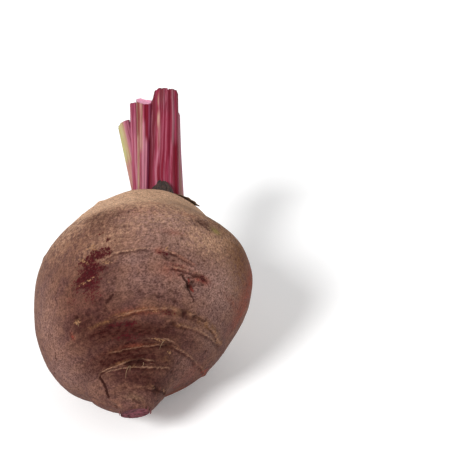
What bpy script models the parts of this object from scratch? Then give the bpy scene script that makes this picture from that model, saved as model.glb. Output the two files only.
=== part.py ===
"""A whole red beet lying on its belly, with its leaves cut off a little above the crown.

The root grew as one piece and is one solid. Its leaf stalks stand in sockets of the crown, and a
dried leaf base and a papery scrap of leaf sheath are left beside them. Metres, +Z up. The origin is
the middle of the flat spot under the belly, and +Y runs from the tail towards the crown.

Sizes along the root are stations: millimetres along its axis from the middle of the belly, with the
crown on the plus side. Angles round the root run from the right over the upper side to the left.
"""

from bisect import bisect_right
from math import cos, exp, pi, radians, sin, sqrt, tan

import bmesh
import bpy
from mathutils import Matrix, Vector

MM = 0.001

# Pose: the root lies on its belly with its crown raised above its tail
AXIS_RISE = radians(23)
BELLY_PLACE = (4.7 * MM, 2.2 * MM, 39.4 * MM)

# Root: station, radius, how far the axis wanders to the right, and how far the growth rings lean,
# as the station gained for each millimetre to the right
ROOT_PROFILE = (
    (-56.5, 4.9, 0.0, 0.0),
    (-48.3, 6.1, 0.3, 0.0),
    (-45.3, 10.3, -1.4, 0.07),
    (-41.5, 14.6, -2.6, 0.16),
    (-37.0, 17.8, -1.4, 0.21),
    (-30.0, 28.5, -1.4, 0.20),
    (-16.0, 37.8, -1.2, 0.18),
    (0.0, 42.2, -0.3, 0.13),
    (14.0, 40.9, -0.5, 0.10),
    (26.0, 31.7, -2.5, 0.08),
    (36.0, 23.3, -0.6, 0.03),
    (42.0, 14.8, 0.9, 0.0),
    (43.4, 12.8, 1.7, 0.0),
    (44.0, 11.8, 1.9, 0.0),
)
BELLY_RADIUS = 42.2
# The belly isn't quite round: waves round it, share of the radius, angle of the first crest
ROOT_WAVES = ((2, 0.010, radians(90)), (3, 0.018, radians(90)), (5, 0.008, radians(18)))
ROOT_SIDES = 56
RING_STEP_FOLDED = 1.45
RING_STEP_SMOOTH = 3.2
FOLDED_BELOW = -21.0
FOLDED_ABOVE = 35.5

# Growth folds: station, height, half width, and the angles round the root that each one spans
FOLDS = (
    (-5.0, 0.45, 2.2, radians(55), radians(125)),
    (-26.4, 0.70, 1.7, radians(-60), radians(190)),
    (-34.8, 0.65, 1.6, radians(-80), radians(150)),
    (-37.9, 0.60, 1.3, radians(10), radians(300)),
    (-44.0, 0.40, 1.2, radians(-160), radians(200)),
    (38.8, 0.45, 1.1, radians(-170), radians(170)),
)
FOLD_FADE = radians(4.7)

# Tail stub: where the knife went through, and how far the cut leans to the right and to the top
TAIL_CUT_STATION = -50.5
TAIL_CUT_LEAN = (radians(12), radians(-12))

# Leaf stalks: place on the crown (right, up), the way the ribbed back faces, lean to the right and
# up, length above the crown, width at foot and at the cut, thickness, rib edges across the back from
# -1 to 1, lean of the cut towards the back, bow to the back
CROWN_STATION = 44.0
SOCKET_DEPTH = 3.6
SOCKET_CUTTER_TOP = 9.0
GAP = 0.35
STALKS = {
    "stalk_right": dict(
        place=(5.1, 3.7), facing=83, lean=(-3.4, 13.0), length=49.8, width=(11.6, 9.6),
        thickness=6.2, ribs=(-1, -0.70, -0.36, 0.02, 0.26, 0.62, 1), cut_lean=-4, bow=0.5),
    "stalk_middle": dict(
        place=(-3.4, 3.6), facing=98, lean=(-4.0, 13.0), length=46.2, width=(5.2, 6.8),
        thickness=5.2, ribs=(-1, -0.35, 0.12, 0.5, 1), cut_lean=34, bow=0.4),
    "stalk_narrow": dict(
        place=(-5.7, -0.8), facing=104, lean=(-6.8, 12.0), length=47.2, width=(4.2, 3.6),
        thickness=2.8, ribs=(-1, 0.0, 1), cut_lean=0, bow=0.2),
    "stalk_left": dict(
        place=(-4.0, -6.0), facing=172, lean=(-14.7, 11.0), length=43.5, width=(6.6, 7.4),
        thickness=4.4, ribs=(-1, -0.45, 0.1, 0.55, 1), cut_lean=12, bow=0.0),
    "stalk_far_right": dict(
        place=(10.25, -3.4), facing=-14, lean=(-6.3, 11.0), length=45.5, width=(8.0, 7.0),
        thickness=4.4, ribs=(-1, -0.5, 0.0, 0.5, 1), cut_lean=-6, bow=-0.3),
    "stalk_back": dict(
        place=(3.2, -6.6), facing=268, lean=(-4.0, 8.0), length=46.0, width=(9.2, 8.0),
        thickness=4.8, ribs=(-1, -0.55, -0.1, 0.4, 1), cut_lean=8, bow=0.4),
    "stalk_inner": dict(
        place=(1.6, -1.6), facing=262, lean=(-3.6, 10.4), length=38.0, width=(4.6, 4.0),
        thickness=2.4, ribs=(-1, 0.0, 1), cut_lean=0, bow=0.0),
}
RIB_DEPTH = 0.55
STALK_RINGS = 8
INNER_POINTS = 7
BACK_SHARE = 0.62
SECTION_FULLNESS = 0.8
GROOVE_SHARE = 0.16
GROOVE_HALF_WIDTH = 0.5

# Dried base of an old leaf, a shrunken stub in front of the right stalk
LEAF_BASE = dict(
    place=(4.1, 9.6), facing=88, lean=(-3.0, 14.0), length=6.4, width=(9.2, 2.4),
    thickness=3.0, ribs=(-1, -0.5, 0.1, 0.55, 1), cut_lean=26, bow=0.3)

# Papery scrap on the right shoulder: station and angle of its two ends, width, thickness, and how
# far its outer edge has curled up off the skin
SCRAP_ENDS = ((42.6, radians(60)), (37.8, radians(34)))
SCRAP_WIDTH = 3.4
SCRAP_THICKNESS = 0.7
SCRAP_CURL = 1.1
SCRAP_ACROSS = (0.0, 0.35, 0.7, 1.0)
SCRAP_END_SHARE = 0.35
SCRAP_STEPS = 8
SHARP_ANGLE = radians(40)

SKIN = (0.235, 0.115, 0.082)
STALK_RED = (0.36, 0.075, 0.12)
DRY_GREY = (0.075, 0.055, 0.050)
DRY_BROWN = (0.17, 0.105, 0.060)


def profile_at(station):
    """Radius, wander and ring lean of the root at a station, on a smooth curve through the rows."""
    stations = [row[0] for row in ROOT_PROFILE]
    last = len(ROOT_PROFILE) - 1
    here = min(max(bisect_right(stations, station) - 1, 0), last - 1)
    start, end = ROOT_PROFILE[here], ROOT_PROFILE[here + 1]
    before = ROOT_PROFILE[max(here - 1, 0)]
    after = ROOT_PROFILE[min(here + 2, last)]
    span = end[0] - start[0]
    t = min(max((station - start[0]) / span, 0.0), 1.0)
    values = []
    for column in (1, 2, 3):
        slope_start = (end[column] - before[column]) / (end[0] - before[0]) * span
        slope_end = (after[column] - start[column]) / (after[0] - start[0]) * span
        values.append((2 * t**3 - 3 * t**2 + 1) * start[column]
                      + (t**3 - 2 * t**2 + t) * slope_start
                      + (3 * t**2 - 2 * t**3) * end[column]
                      + (t**3 - t**2) * slope_end)
    return values


def fold_height(station, angle):
    """Height of the growth folds above the skin, fading out at the ends of each fold."""
    height = 0.0
    for place, rise, half_width, first, last in FOLDS:
        middle = (first + last) / 2
        off = abs((angle - middle + pi) % (2 * pi) - pi) - (last - first) / 2
        fade = 1 / (1 + exp(off / FOLD_FADE))
        height += rise * fade * exp(-((station - place) / half_width) ** 2)
    return height


def root_point(station, angle, lift=0.0):
    """A point of the skin, or one lifted off it, with the axis along Z and the upper side at -Y."""
    radius, wander, ring_lean = profile_at(station)
    share = min(radius / BELLY_RADIUS, 1.0)
    waves = sum(size * cos(count * (angle - crest)) for count, size, crest in ROOT_WAVES)
    radius = radius * (1 + share * waves) + fold_height(station, angle) + lift
    right = radius * cos(angle)
    return Vector((right + wander, -radius * sin(angle), station + ring_lean * right)) * MM


def ring_stations():
    """Stations of the root's rings, close together where the growth folds are."""
    stations = [ROOT_PROFILE[0][0]]
    crown_rim = ROOT_PROFILE[-3][0]
    while stations[-1] < crown_rim:
        smooth = FOLDED_BELOW < stations[-1] < FOLDED_ABOVE
        step = RING_STEP_SMOOTH if smooth else RING_STEP_FOLDED
        stations.append(min(stations[-1] + step, crown_rim))
    return stations + [row[0] for row in ROOT_PROFILE[-2:]]


def loft(rings):
    """A closed mesh through rings of points that all have the same count."""
    mesh = bmesh.new()
    rows = [[mesh.verts.new(point) for point in ring] for ring in rings]
    count = len(rows[0])
    for lower, upper in zip(rows, rows[1:]):
        for i in range(count):
            j = (i + 1) % count
            mesh.faces.new((lower[i], lower[j], upper[j], upper[i]))
    mesh.faces.new(reversed(rows[0]))
    mesh.faces.new(rows[-1])
    bmesh.ops.recalc_face_normals(mesh, faces=mesh.faces)
    return mesh


def slice_off(mesh, point, normal):
    """Cut away what lies on the normal's side of a plane and close the cut with one flat face."""
    geometry = mesh.verts[:] + mesh.edges[:] + mesh.faces[:]
    cut = bmesh.ops.bisect_plane(
        mesh, geom=geometry, dist=1e-7, plane_co=point, plane_no=normal, clear_outer=True)
    edges = [item for item in cut["geom_cut"] if isinstance(item, bmesh.types.BMEdge)]
    bmesh.ops.contextual_create(mesh, geom=edges)
    bmesh.ops.recalc_face_normals(mesh, faces=mesh.faces)


def material(name, colour, roughness):
    made = bpy.data.materials.new(name)
    made.use_nodes = True
    shader = made.node_tree.nodes["Principled BSDF"]
    shader.inputs["Base Color"].default_value = (*colour, 1.0)
    shader.inputs["Roughness"].default_value = roughness
    shader.inputs["Metallic"].default_value = 0.0
    return made


def make_object(name, mesh, parent, finish=None):
    """Turn a bmesh into an object under its parent, round sides shaded smooth."""
    data = bpy.data.meshes.new(name)
    mesh.to_mesh(data)
    mesh.free()
    data.shade_smooth()
    data.set_sharp_from_angle(angle=SHARP_ANGLE)
    made = bpy.data.objects.new(name, data)
    if finish:
        data.materials.append(finish)
    bpy.context.scene.collection.objects.link(made)
    made.parent = parent
    return made


def beet_axes():
    """An empty whose Z is the root's axis, standing for the pose that the beet lies in."""
    axes = bpy.data.objects.new("beet_axes", None)
    axes.location = BELLY_PLACE
    axes.rotation_euler = (AXIS_RISE - pi / 2, 0.0, 0.0)
    bpy.context.scene.collection.objects.link(axes)
    bpy.context.view_layer.update()
    return axes


def beet_root(axes):
    """The root: lofted rings, the knife cut through the tail and the flat spot under the belly."""
    angles = [2 * pi * i / ROOT_SIDES for i in range(ROOT_SIDES)]
    mesh = loft([[root_point(station, angle) for angle in angles] for station in ring_stations()])
    tail_middle = root_point(TAIL_CUT_STATION, 0.0) + root_point(TAIL_CUT_STATION, pi)
    lean_right, lean_up = (tan(angle) for angle in TAIL_CUT_LEAN)
    slice_off(mesh, tail_middle / 2, Vector((lean_right, -lean_up, -1.0)).normalized())
    to_axes = axes.matrix_world.inverted()
    ground = to_axes @ Vector((0.0, 0.0, 0.0))
    slice_off(mesh, ground, to_axes.to_3x3() @ Vector((0.0, 0.0, -1.0)))
    return make_object("beet_root", mesh, axes, material("skin", SKIN, 0.72))


def across_points(ribs):
    """Places across a stalk's back from -1 to 1, four to each rib."""
    points = []
    for start, end in zip(ribs, ribs[1:]):
        points += [start + (end - start) * quarter / 4 for quarter in range(4)]
    return points + [ribs[-1]]


def rib_groove(across, ribs, depth):
    """How far the back lies below its round outline: nothing on a rib, the full depth between."""
    for start, end in zip(ribs, ribs[1:]):
        if start <= across <= end:
            return depth * (1 - sin(pi * (across - start) / (end - start)))
    return 0.0


def stalk_section(width, thickness, ribs, depth, margin):
    """Outline of a leaf stalk: a ribbed round back on +Y and a lightly grooved front."""
    half = width / 2 + margin
    section = []
    for across in across_points(ribs):
        round_share = sqrt(max(1 - across**2, 0.0)) ** SECTION_FULLNESS
        back = (BACK_SHARE * thickness + margin) * round_share
        section.append((half * across, back - rib_groove(across, ribs, depth) * round_share))
    for i in range(1, INNER_POINTS + 1):
        across = cos(pi * i / (INNER_POINTS + 1))
        round_share = sqrt(1 - across**2) ** SECTION_FULLNESS
        front = -((1 - BACK_SHARE) * thickness + margin) * round_share
        if not margin:
            front += GROOVE_SHARE * thickness * exp(-(across / GROOVE_HALF_WIDTH) ** 2)
        section.append((half * across, front))
    return section


def stalk_mesh(shape, foot, top, margin=0.0):
    """A stalk along Z from foot to top, its section changing from foot width to cut width."""
    depth = 0.0 if margin else RIB_DEPTH
    rings = []
    for i in range(STALK_RINGS):
        along = foot + (top - foot) * i / (STALK_RINGS - 1)
        share = min(max(along / shape["length"], 0.0), 1.0)
        width = shape["width"][0] + (shape["width"][1] - shape["width"][0]) * share
        bow = shape["bow"] * 4 * share * (1 - share)
        section = stalk_section(width, shape["thickness"], shape["ribs"], depth, margin)
        rings.append([Vector((x, y + bow, along)) * MM for x, y in section])
    return loft(rings)


def stalk_pose(shape):
    """Where a stalk stands on the crown: Z along the stalk, +Y the way its ribbed back faces."""
    lean_right, lean_up = (tan(radians(angle)) for angle in shape["lean"])
    along = Vector((lean_right, -lean_up, 1.0)).normalized()
    facing = radians(shape["facing"])
    back = Vector((cos(facing), -sin(facing), 0.0))
    across = back.cross(along).normalized()
    back = along.cross(across)
    pose = Matrix((across, back, along)).transposed().to_4x4()
    right, up = shape["place"]
    pose.translation = Vector((right, -up, CROWN_STATION)) * MM
    return pose


def leaf_stalk(name, shape, axes, root, finish):
    """A stalk cut off square or slanting, standing in its own socket in the crown."""
    cut_lean = radians(shape["cut_lean"])
    mesh = stalk_mesh(shape, -SOCKET_DEPTH, shape["length"] + shape["thickness"])
    slice_off(mesh, Vector((0.0, 0.0, shape["length"] * MM)),
              Vector((0.0, sin(cut_lean), cos(cut_lean))))
    stalk = make_object(name, mesh, axes, finish)
    stalk.matrix_local = stalk_pose(shape)
    cut_socket(name, shape, axes, root)


def cut_socket(name, shape, axes, root):
    """Cut the stalk's socket into the crown, with a hair of room all round."""
    mesh = stalk_mesh(shape, -SOCKET_DEPTH - GAP, SOCKET_CUTTER_TOP, GAP)
    cutter = make_object(name + "_socket", mesh, axes)
    cutter.matrix_local = stalk_pose(shape)
    cutter.hide_render = True
    cutter.display_type = "WIRE"
    cut = root.modifiers.new(name + "_socket", "BOOLEAN")
    cut.operation = "DIFFERENCE"
    cut.object = cutter


def dry_scrap(axes):
    """The papery scrap: a strip over the shoulder whose outer edge has curled up off the skin."""
    (start_station, start_angle), (end_station, end_angle) = SCRAP_ENDS
    rings = []
    for i in range(SCRAP_STEPS):
        t = i / (SCRAP_STEPS - 1)
        middle = sin(pi * t)
        station = start_station + (end_station - start_station) * t
        angle = start_angle + (end_angle - start_angle) * t
        width = SCRAP_WIDTH * (SCRAP_END_SHARE + (1 - SCRAP_END_SHARE) * sqrt(middle))
        under = []
        over = []
        for share in SCRAP_ACROSS:
            lift = GAP + SCRAP_CURL * share**2 * (1 + middle) / 2
            under.append(root_point(station - width * share, angle, lift))
            over.append(root_point(station - width * share, angle, lift + SCRAP_THICKNESS))
        rings.append(under + over[::-1])
    return make_object("dry_scrap", loft(rings), axes, material("dry_sheath", DRY_BROWN, 0.85))


def main():
    for old in list(bpy.data.objects):
        bpy.data.objects.remove(old, do_unlink=True)
    axes = beet_axes()
    root = beet_root(axes)
    for name, shape in STALKS.items():
        leaf_stalk(name, shape, axes, root, material(name + "_red", STALK_RED, 0.5))
    leaf_stalk("dry_leaf_base", LEAF_BASE, axes, root, material("dry_leaf", DRY_GREY, 0.9))
    dry_scrap(axes)


main()
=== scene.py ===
"""Looks of a whole red beet that lies on its belly, with its leaves cut off above the crown.

The packed solids are the fixed frame. Each piece here grows from the same few sizes as its solid and
stands in its place. Lengths along the root are stations: millimetres along its axis from the middle
of the belly, with the crown on the plus side. Angles round the root run from the right over the
upper side to the left, in degrees. The axis frame has the root's axis along Z and its upper side at -Y.
"""

from math import cos, pi, radians, sin, tan

import bpy
import numpy as np
from bpy.props import FloatProperty, FloatVectorProperty, IntProperty, PointerProperty
from mathutils import Matrix, Quaternion, Vector


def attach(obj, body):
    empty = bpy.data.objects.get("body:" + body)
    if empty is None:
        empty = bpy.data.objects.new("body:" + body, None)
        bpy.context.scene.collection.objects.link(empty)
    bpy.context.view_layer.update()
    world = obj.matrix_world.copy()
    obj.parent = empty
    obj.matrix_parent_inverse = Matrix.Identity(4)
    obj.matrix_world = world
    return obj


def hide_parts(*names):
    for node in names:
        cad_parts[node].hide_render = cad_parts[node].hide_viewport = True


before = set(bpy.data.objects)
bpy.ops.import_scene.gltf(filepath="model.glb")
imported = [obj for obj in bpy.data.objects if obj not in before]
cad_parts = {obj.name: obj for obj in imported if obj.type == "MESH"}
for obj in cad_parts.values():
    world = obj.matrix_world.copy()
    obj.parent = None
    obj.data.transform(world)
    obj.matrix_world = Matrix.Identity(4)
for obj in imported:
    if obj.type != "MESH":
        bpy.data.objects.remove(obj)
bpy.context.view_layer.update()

bl_info = {
    "name": "Whole red beet",
    "version": (1, 0, 0),
    "blender": (4, 5, 0),
    "location": "3D View > Sidebar > Beet",
    "description": "Skin, crown, leaf stalks and dried leaf remains of a beet, with a plain stage",
    "category": "Add Mesh",
}

BODY = "root"
MM = 0.001

# How the root lies: its axis rises from tail to crown, and the middle of its belly is up here
AXIS_RISE = radians(23)
BELLY_PLACE = Vector((4.7, 2.2, 39.4)) * MM
AXES = Matrix.Translation(BELLY_PLACE) @ Matrix.Rotation(AXIS_RISE - pi / 2, 4, "X")

# Root: station, radius, how far the axis wanders to the right, and how far the growth rings lean
ROOT_PROFILE = np.array((
    (-56.5, 4.9, 0.0, 0.0),
    (-48.3, 6.1, 0.3, 0.0),
    (-45.3, 10.3, -1.4, 0.07),
    (-41.5, 14.6, -2.6, 0.16),
    (-37.0, 17.8, -1.4, 0.21),
    (-30.0, 28.5, -1.4, 0.20),
    (-16.0, 37.8, -1.2, 0.18),
    (0.0, 42.2, -0.3, 0.13),
    (14.0, 40.9, -0.5, 0.10),
    (26.0, 31.7, -2.5, 0.08),
    (36.0, 23.3, -0.6, 0.03),
    (42.0, 14.8, 0.9, 0.0),
    (43.4, 12.8, 1.7, 0.0),
    (44.0, 11.8, 1.9, 0.0),
))
BELLY_RADIUS = 42.2
ROOT_WAVES = ((2, 0.010, radians(90)), (3, 0.018, radians(90)), (5, 0.008, radians(18)))
TAIL_CUT_STATION = -50.5
TAIL_CUT_LEAN = (radians(12), radians(-12))
TAIL_BLEND_STATION = -43.0
TAIL_CUT_STEPS = 8
CROWN_STATION = 44.0
CROWN_DOME = 1.6

# Mesh of the skin: columns are closest together on the upper side and rows below the belly, where most
# of the marks are, and the first column runs along the underside
SEAM_ANGLE = -110.0
UPPER_SIDE_BIAS = 0.60
LOWER_ROW_BIAS = 0.45
LOWER_ROW_START = 2.0
LOWER_ROW_FADE = 6.0
TAIL_FACE_ROWS = 12
CROWN_FACE_ROWS = 22
PROFILE_SAMPLES = 3000
TURN_SAMPLES = 2000

# Noise over space: how many values it draws, the primes that pick one for each corner of its lattice,
# and how much finer each layer of rough noise is than the one before
NOISE_VALUES = 4096
NOISE_PRIMES = (73856093, 19349663, 83492791)
FINER_LAYER = 2.03

# Relief of the whole skin, as width and height: broad waves and grain, and streaks along the growth
# rings that grow higher between two stations
WAVE_WIDTH, WAVE_HEIGHT = 15.0, 0.30
GRAIN_WIDTH, GRAIN_HEIGHT = 2.4, 0.055
STREAK_WIDTHS = (7.0, 7.0, 0.9)
SHOULDER_STREAK_HEIGHT, MORE_AT_TAIL = 0.02, 0.05
STREAK_STATIONS = (10.0, -30.0)

# Growth folds as (angle, station) points, height of the lip, its half width, depth of the crease
# under it, how much of the lip is tan, how strong its pale edge line and the painted shade line under
# it are, how red it is, and between which angles these lines are seen. The pale edge line is partly
# the lip's own colour and partly a painted highlight. A fold that gives no tan or red has none.
FOLDS = {
    "belly_scar": dict(
        path=((70, -6.8), (76, -5.8), (82, -5.6), (92, -5.6), (100, -6.0), (106, -6.9)),
        rise=0.30, lip=0.65, crease=0.10, pale=1.0, seen=(60, 112)),
    "belly_strand_upper": dict(
        path=((57, -8.8), (63, -8.2), (67, -7.4), (72, -6.4), (76, -5.8)),
        rise=0.26, lip=0.50, crease=0.22, pale=0.45, red=0.50, seen=(50, 84)),
    "belly_strand_middle": dict(
        path=((52, -10.9), (60, -10.6), (65, -10.2), (70, -9.8), (75, -10.2)),
        rise=0.28, lip=0.55, crease=0.35, pale=0.35, red=0.1, seen=(50, 80)),
    "belly_strand_lower": dict(
        path=((46, -12.4), (56, -12.0), (64, -12.0), (69, -11.8), (75, -12.4)),
        rise=0.36, lip=0.50, crease=0.45, pale=0.75, red=0.45, seen=(46, 78)),
    "upper_fold": dict(
        path=((-60, -21.0), (-24, -21.5), (2, -25.2), (14, -26.0), (34, -25.6), (48, -25.2), (62, -25.0),
              (75, -25.8), (88, -26.2), (101, -27.4), (112, -28.0), (124, -28.6), (160, -28.0),
              (190, -27.0)),
        rise=0.46, lip=0.85, crease=0.30, tan=0.62, pale=0.42, seen=(2, 99)),
    "upper_fold_underlip": dict(
        path=((-10, -24.4), (2, -26.2), (20, -27.9), (33, -28.1), (43, -28.5), (53, -29.0), (66, -28.4)),
        rise=0.30, lip=0.60, crease=0.30, tan=0.55, pale=0.42, seen=(8, 60)),
    "fleck_fold": dict(
        path=((50, -33.0), (58, -32.8), (66, -33.0), (78, -33.4)),
        rise=0.22, lip=0.40, crease=0.25, tan=0.1, pale=0.55, seen=(50, 78)),
    "middle_fold": dict(
        path=((-80, -27.0), (-34, -27.5), (-18, -31.0), (-1, -33.0), (14, -33.6), (28, -34.0), (50, -33.8),
              (63, -34.2), (72, -34.7), (89, -35.1), (102, -35.0), (112, -34.8), (150, -34.6)),
        rise=0.42, lip=0.60, crease=0.30, tan=0.26, pale=0.34, red=0.10, seen=(-24, 110)),
    "lower_fold": dict(
        path=((10, -37.4), (40, -37.6), (53, -38.0), (64, -38.0), (76, -37.8), (92, -38.0), (107, -38.6),
              (129, -39.0), (200, -38.0), (240, -37.8)),
        rise=0.48, lip=0.42, crease=0.42, tan=0.30, pale=0.62, seen=(60, 130)),
    "lower_fold_underlip": dict(
        path=((-40, -33.5), (-16, -35.4), (4, -37.0), (18, -37.7), (32, -38.3), (48, -39.3), (68, -39.9),
              (84, -39.9), (102, -40.0), (114, -40.0), (126, -39.9)),
        rise=0.30, lip=0.36, crease=0.20, tan=0.20, pale=0.52, seen=(30, 118)),
    "tail_fold": dict(
        path=((-100, -43.5), (-17, -41.8), (18, -43.4), (38, -44.6), (52, -44.8), (70, -45.2),
              (110, -45.0), (240, -44.2)),
        rise=0.30, lip=0.65, crease=0.30, tan=0.12, pale=0.35, seen=(36, 78)),
}
FOLD_END_FADE = 2.4
SEEN_FADE = 6.0
# Widest gap that the masks keep
FAR = 3.0
# How a fold wavers: width of the swings, their size and seed
FOLD_WAVER = ((5.0, 0.30, 31), (1.8, 0.12, 33))
# Shoulder and crease of a fold, in half widths of its lip
SHOULDER_WIDTH = 3.2
CREASE_OFFSET = 1.5
CREASE_WIDTH = 0.7

# Cracks and slits: their points as (station, angle), half width, depth and how dark they are, a dark that is
# partly their own and partly painted shade inside them
CRACKS = (
    (((-40.6, 131.5), (-42.2, 130.5), (-43.5, 133), (-44.5, 138), (-45.2, 145), (-46.0, 154)),
     0.34, 0.70, 0.90),
    (((-44.2, 30), (-44.0, 22), (-43.5, 10), (-42.4, -10)), 0.20, 0.25, 0.60),
    (((-22.0, 105.0), (-21.2, 103), (-20.2, 101.0)), 0.18, 0.40, 0.85),
    (((-13.6, 64), (-15.4, 60.8), (-16.8, 57.6)), 0.24, 0.45, 0.85),
    (((-17.4, 57), (-18.9, 55.6), (-20.7, 51)), 0.13, 0.28, 0.60),
    (((-16.6, 56), (-16.0, 53), (-14.8, 48)), 0.22, 0.20, 0.45),
    (((-14.3, 59), (-13.4, 56), (-12.2, 53)), 0.24, 0.30, 0.60),
    (((-27.0, 159), (-28.4, 164)), 0.24, 0.30, 0.55),
    (((0.2, 72), (-2.8, 69.6)), 0.18, 0.16, 0.40),
    (((10.6, 61), (8.8, 56), (7.9, 53)), 0.26, 0.20, 0.45),
    (((-25.2, 45), (-25.4, 36)), 0.30, 0.40, 0.65),
    (((-19.6, 69), (-20.2, 65), (-20.0, 62)), 0.20, 0.20, 0.45),
    (((-21.4, 77), (-22.2, 75), (-21.8, 72)), 0.20, 0.20, 0.45),
    (((-49.0, 71), (-48.4, 92)), 0.24, 0.25, 0.50),
    (((-38.3, 84), (-38.5, 79), (-38.4, 74)), 0.34, 0.30, 0.80),
    (((-14.0, 66), (-12.9, 60), (-12.3, 52), (-13.2, 47)), 0.22, 0.15, 0.50),
)

# Holes, pits and dark dots: station, angle, radius, depth, which also sets how dark a pit is painted, partly
# as its own dark and partly as painted shade
PITS = (
    (-16.9, 56.0, 1.05, 1.40), (-15.2, 55.4, 0.55, 0.60), (-22.8, 127.5, 0.70, 0.70),
    (-38.5, 80, 1.50, 0.75), (-38.7, 87, 0.85, 0.55), (-38.5, 74, 0.75, 0.45),
    (-25.4, 53.5, 1.25, 0.70), (-25.6, 45, 0.60, 0.50), (-34.2, 55.0, 1.10, 0.70),
    (-33.8, 51.5, 0.80, 0.55), (-28.9, 59, 0.80, 0.50), (-30.4, 61, 0.60, 0.45),
    (-44.1, 29, 1.10, 0.60), (-42.6, -2, 0.60, 0.40), (-47.9, 186, 0.65, 0.80),
    (0.4, 68, 0.50, 0.35), (1.2, 78, 0.35, 0.20), (-7.6, 56, 0.35, 0.20), (-20.4, 42, 0.50, 0.35),
    (-22.8, 63, 0.55, 0.40), (-20.4, 86, 0.50, 0.30), (-13.4, 96, 0.35, 0.20),
    (-15.0, 100, 0.35, 0.20), (-16.8, 101, 0.35, 0.20), (-24.4, 35, 0.45, 0.30),
    (-30.6, 10, 0.45, 0.30), (-5.4, 36, 0.35, 0.20), (-23.6, 112, 0.45, 0.30),
    (-24.4, 107, 0.40, 0.30), (-33.0, 96, 0.60, 0.35), (-32.4, 85, 0.40, 0.30),
    (-9.0, 74.5, 0.70, 0.35), (-9.4, 70.5, 0.60, 0.35), (4.8, 102, 0.55, 0.20),
    (4.6, 98, 0.40, 0.20), (3.2, 109, 0.45, 0.20), (-38.4, 21, 0.45, 0.25),
)

# Knobs on the outline: station, angle, radius, height
KNOBS = (
    (23.0, 131, 1.3, 0.55), (31.4, 130, 1.5, 0.60), (-27.0, -34, 1.2, 0.60), (-17.2, -2, 1.0, 0.40),
    (-32.5, -30, 1.0, 0.45), (-22.0, -18, 0.9, 0.40), (12.0, 160, 1.6, 0.35), (-47.8, 160, 1.2, 0.5),
)

# Tints that the skin is stained with; deep and dark also hold painted shade, and scurf painted light on the
# shoulder's top
SKIN_TINTS = ("scurf", "bloom", "deep", "bare", "blush", "red", "tan", "gold", "green", "dark")

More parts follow.
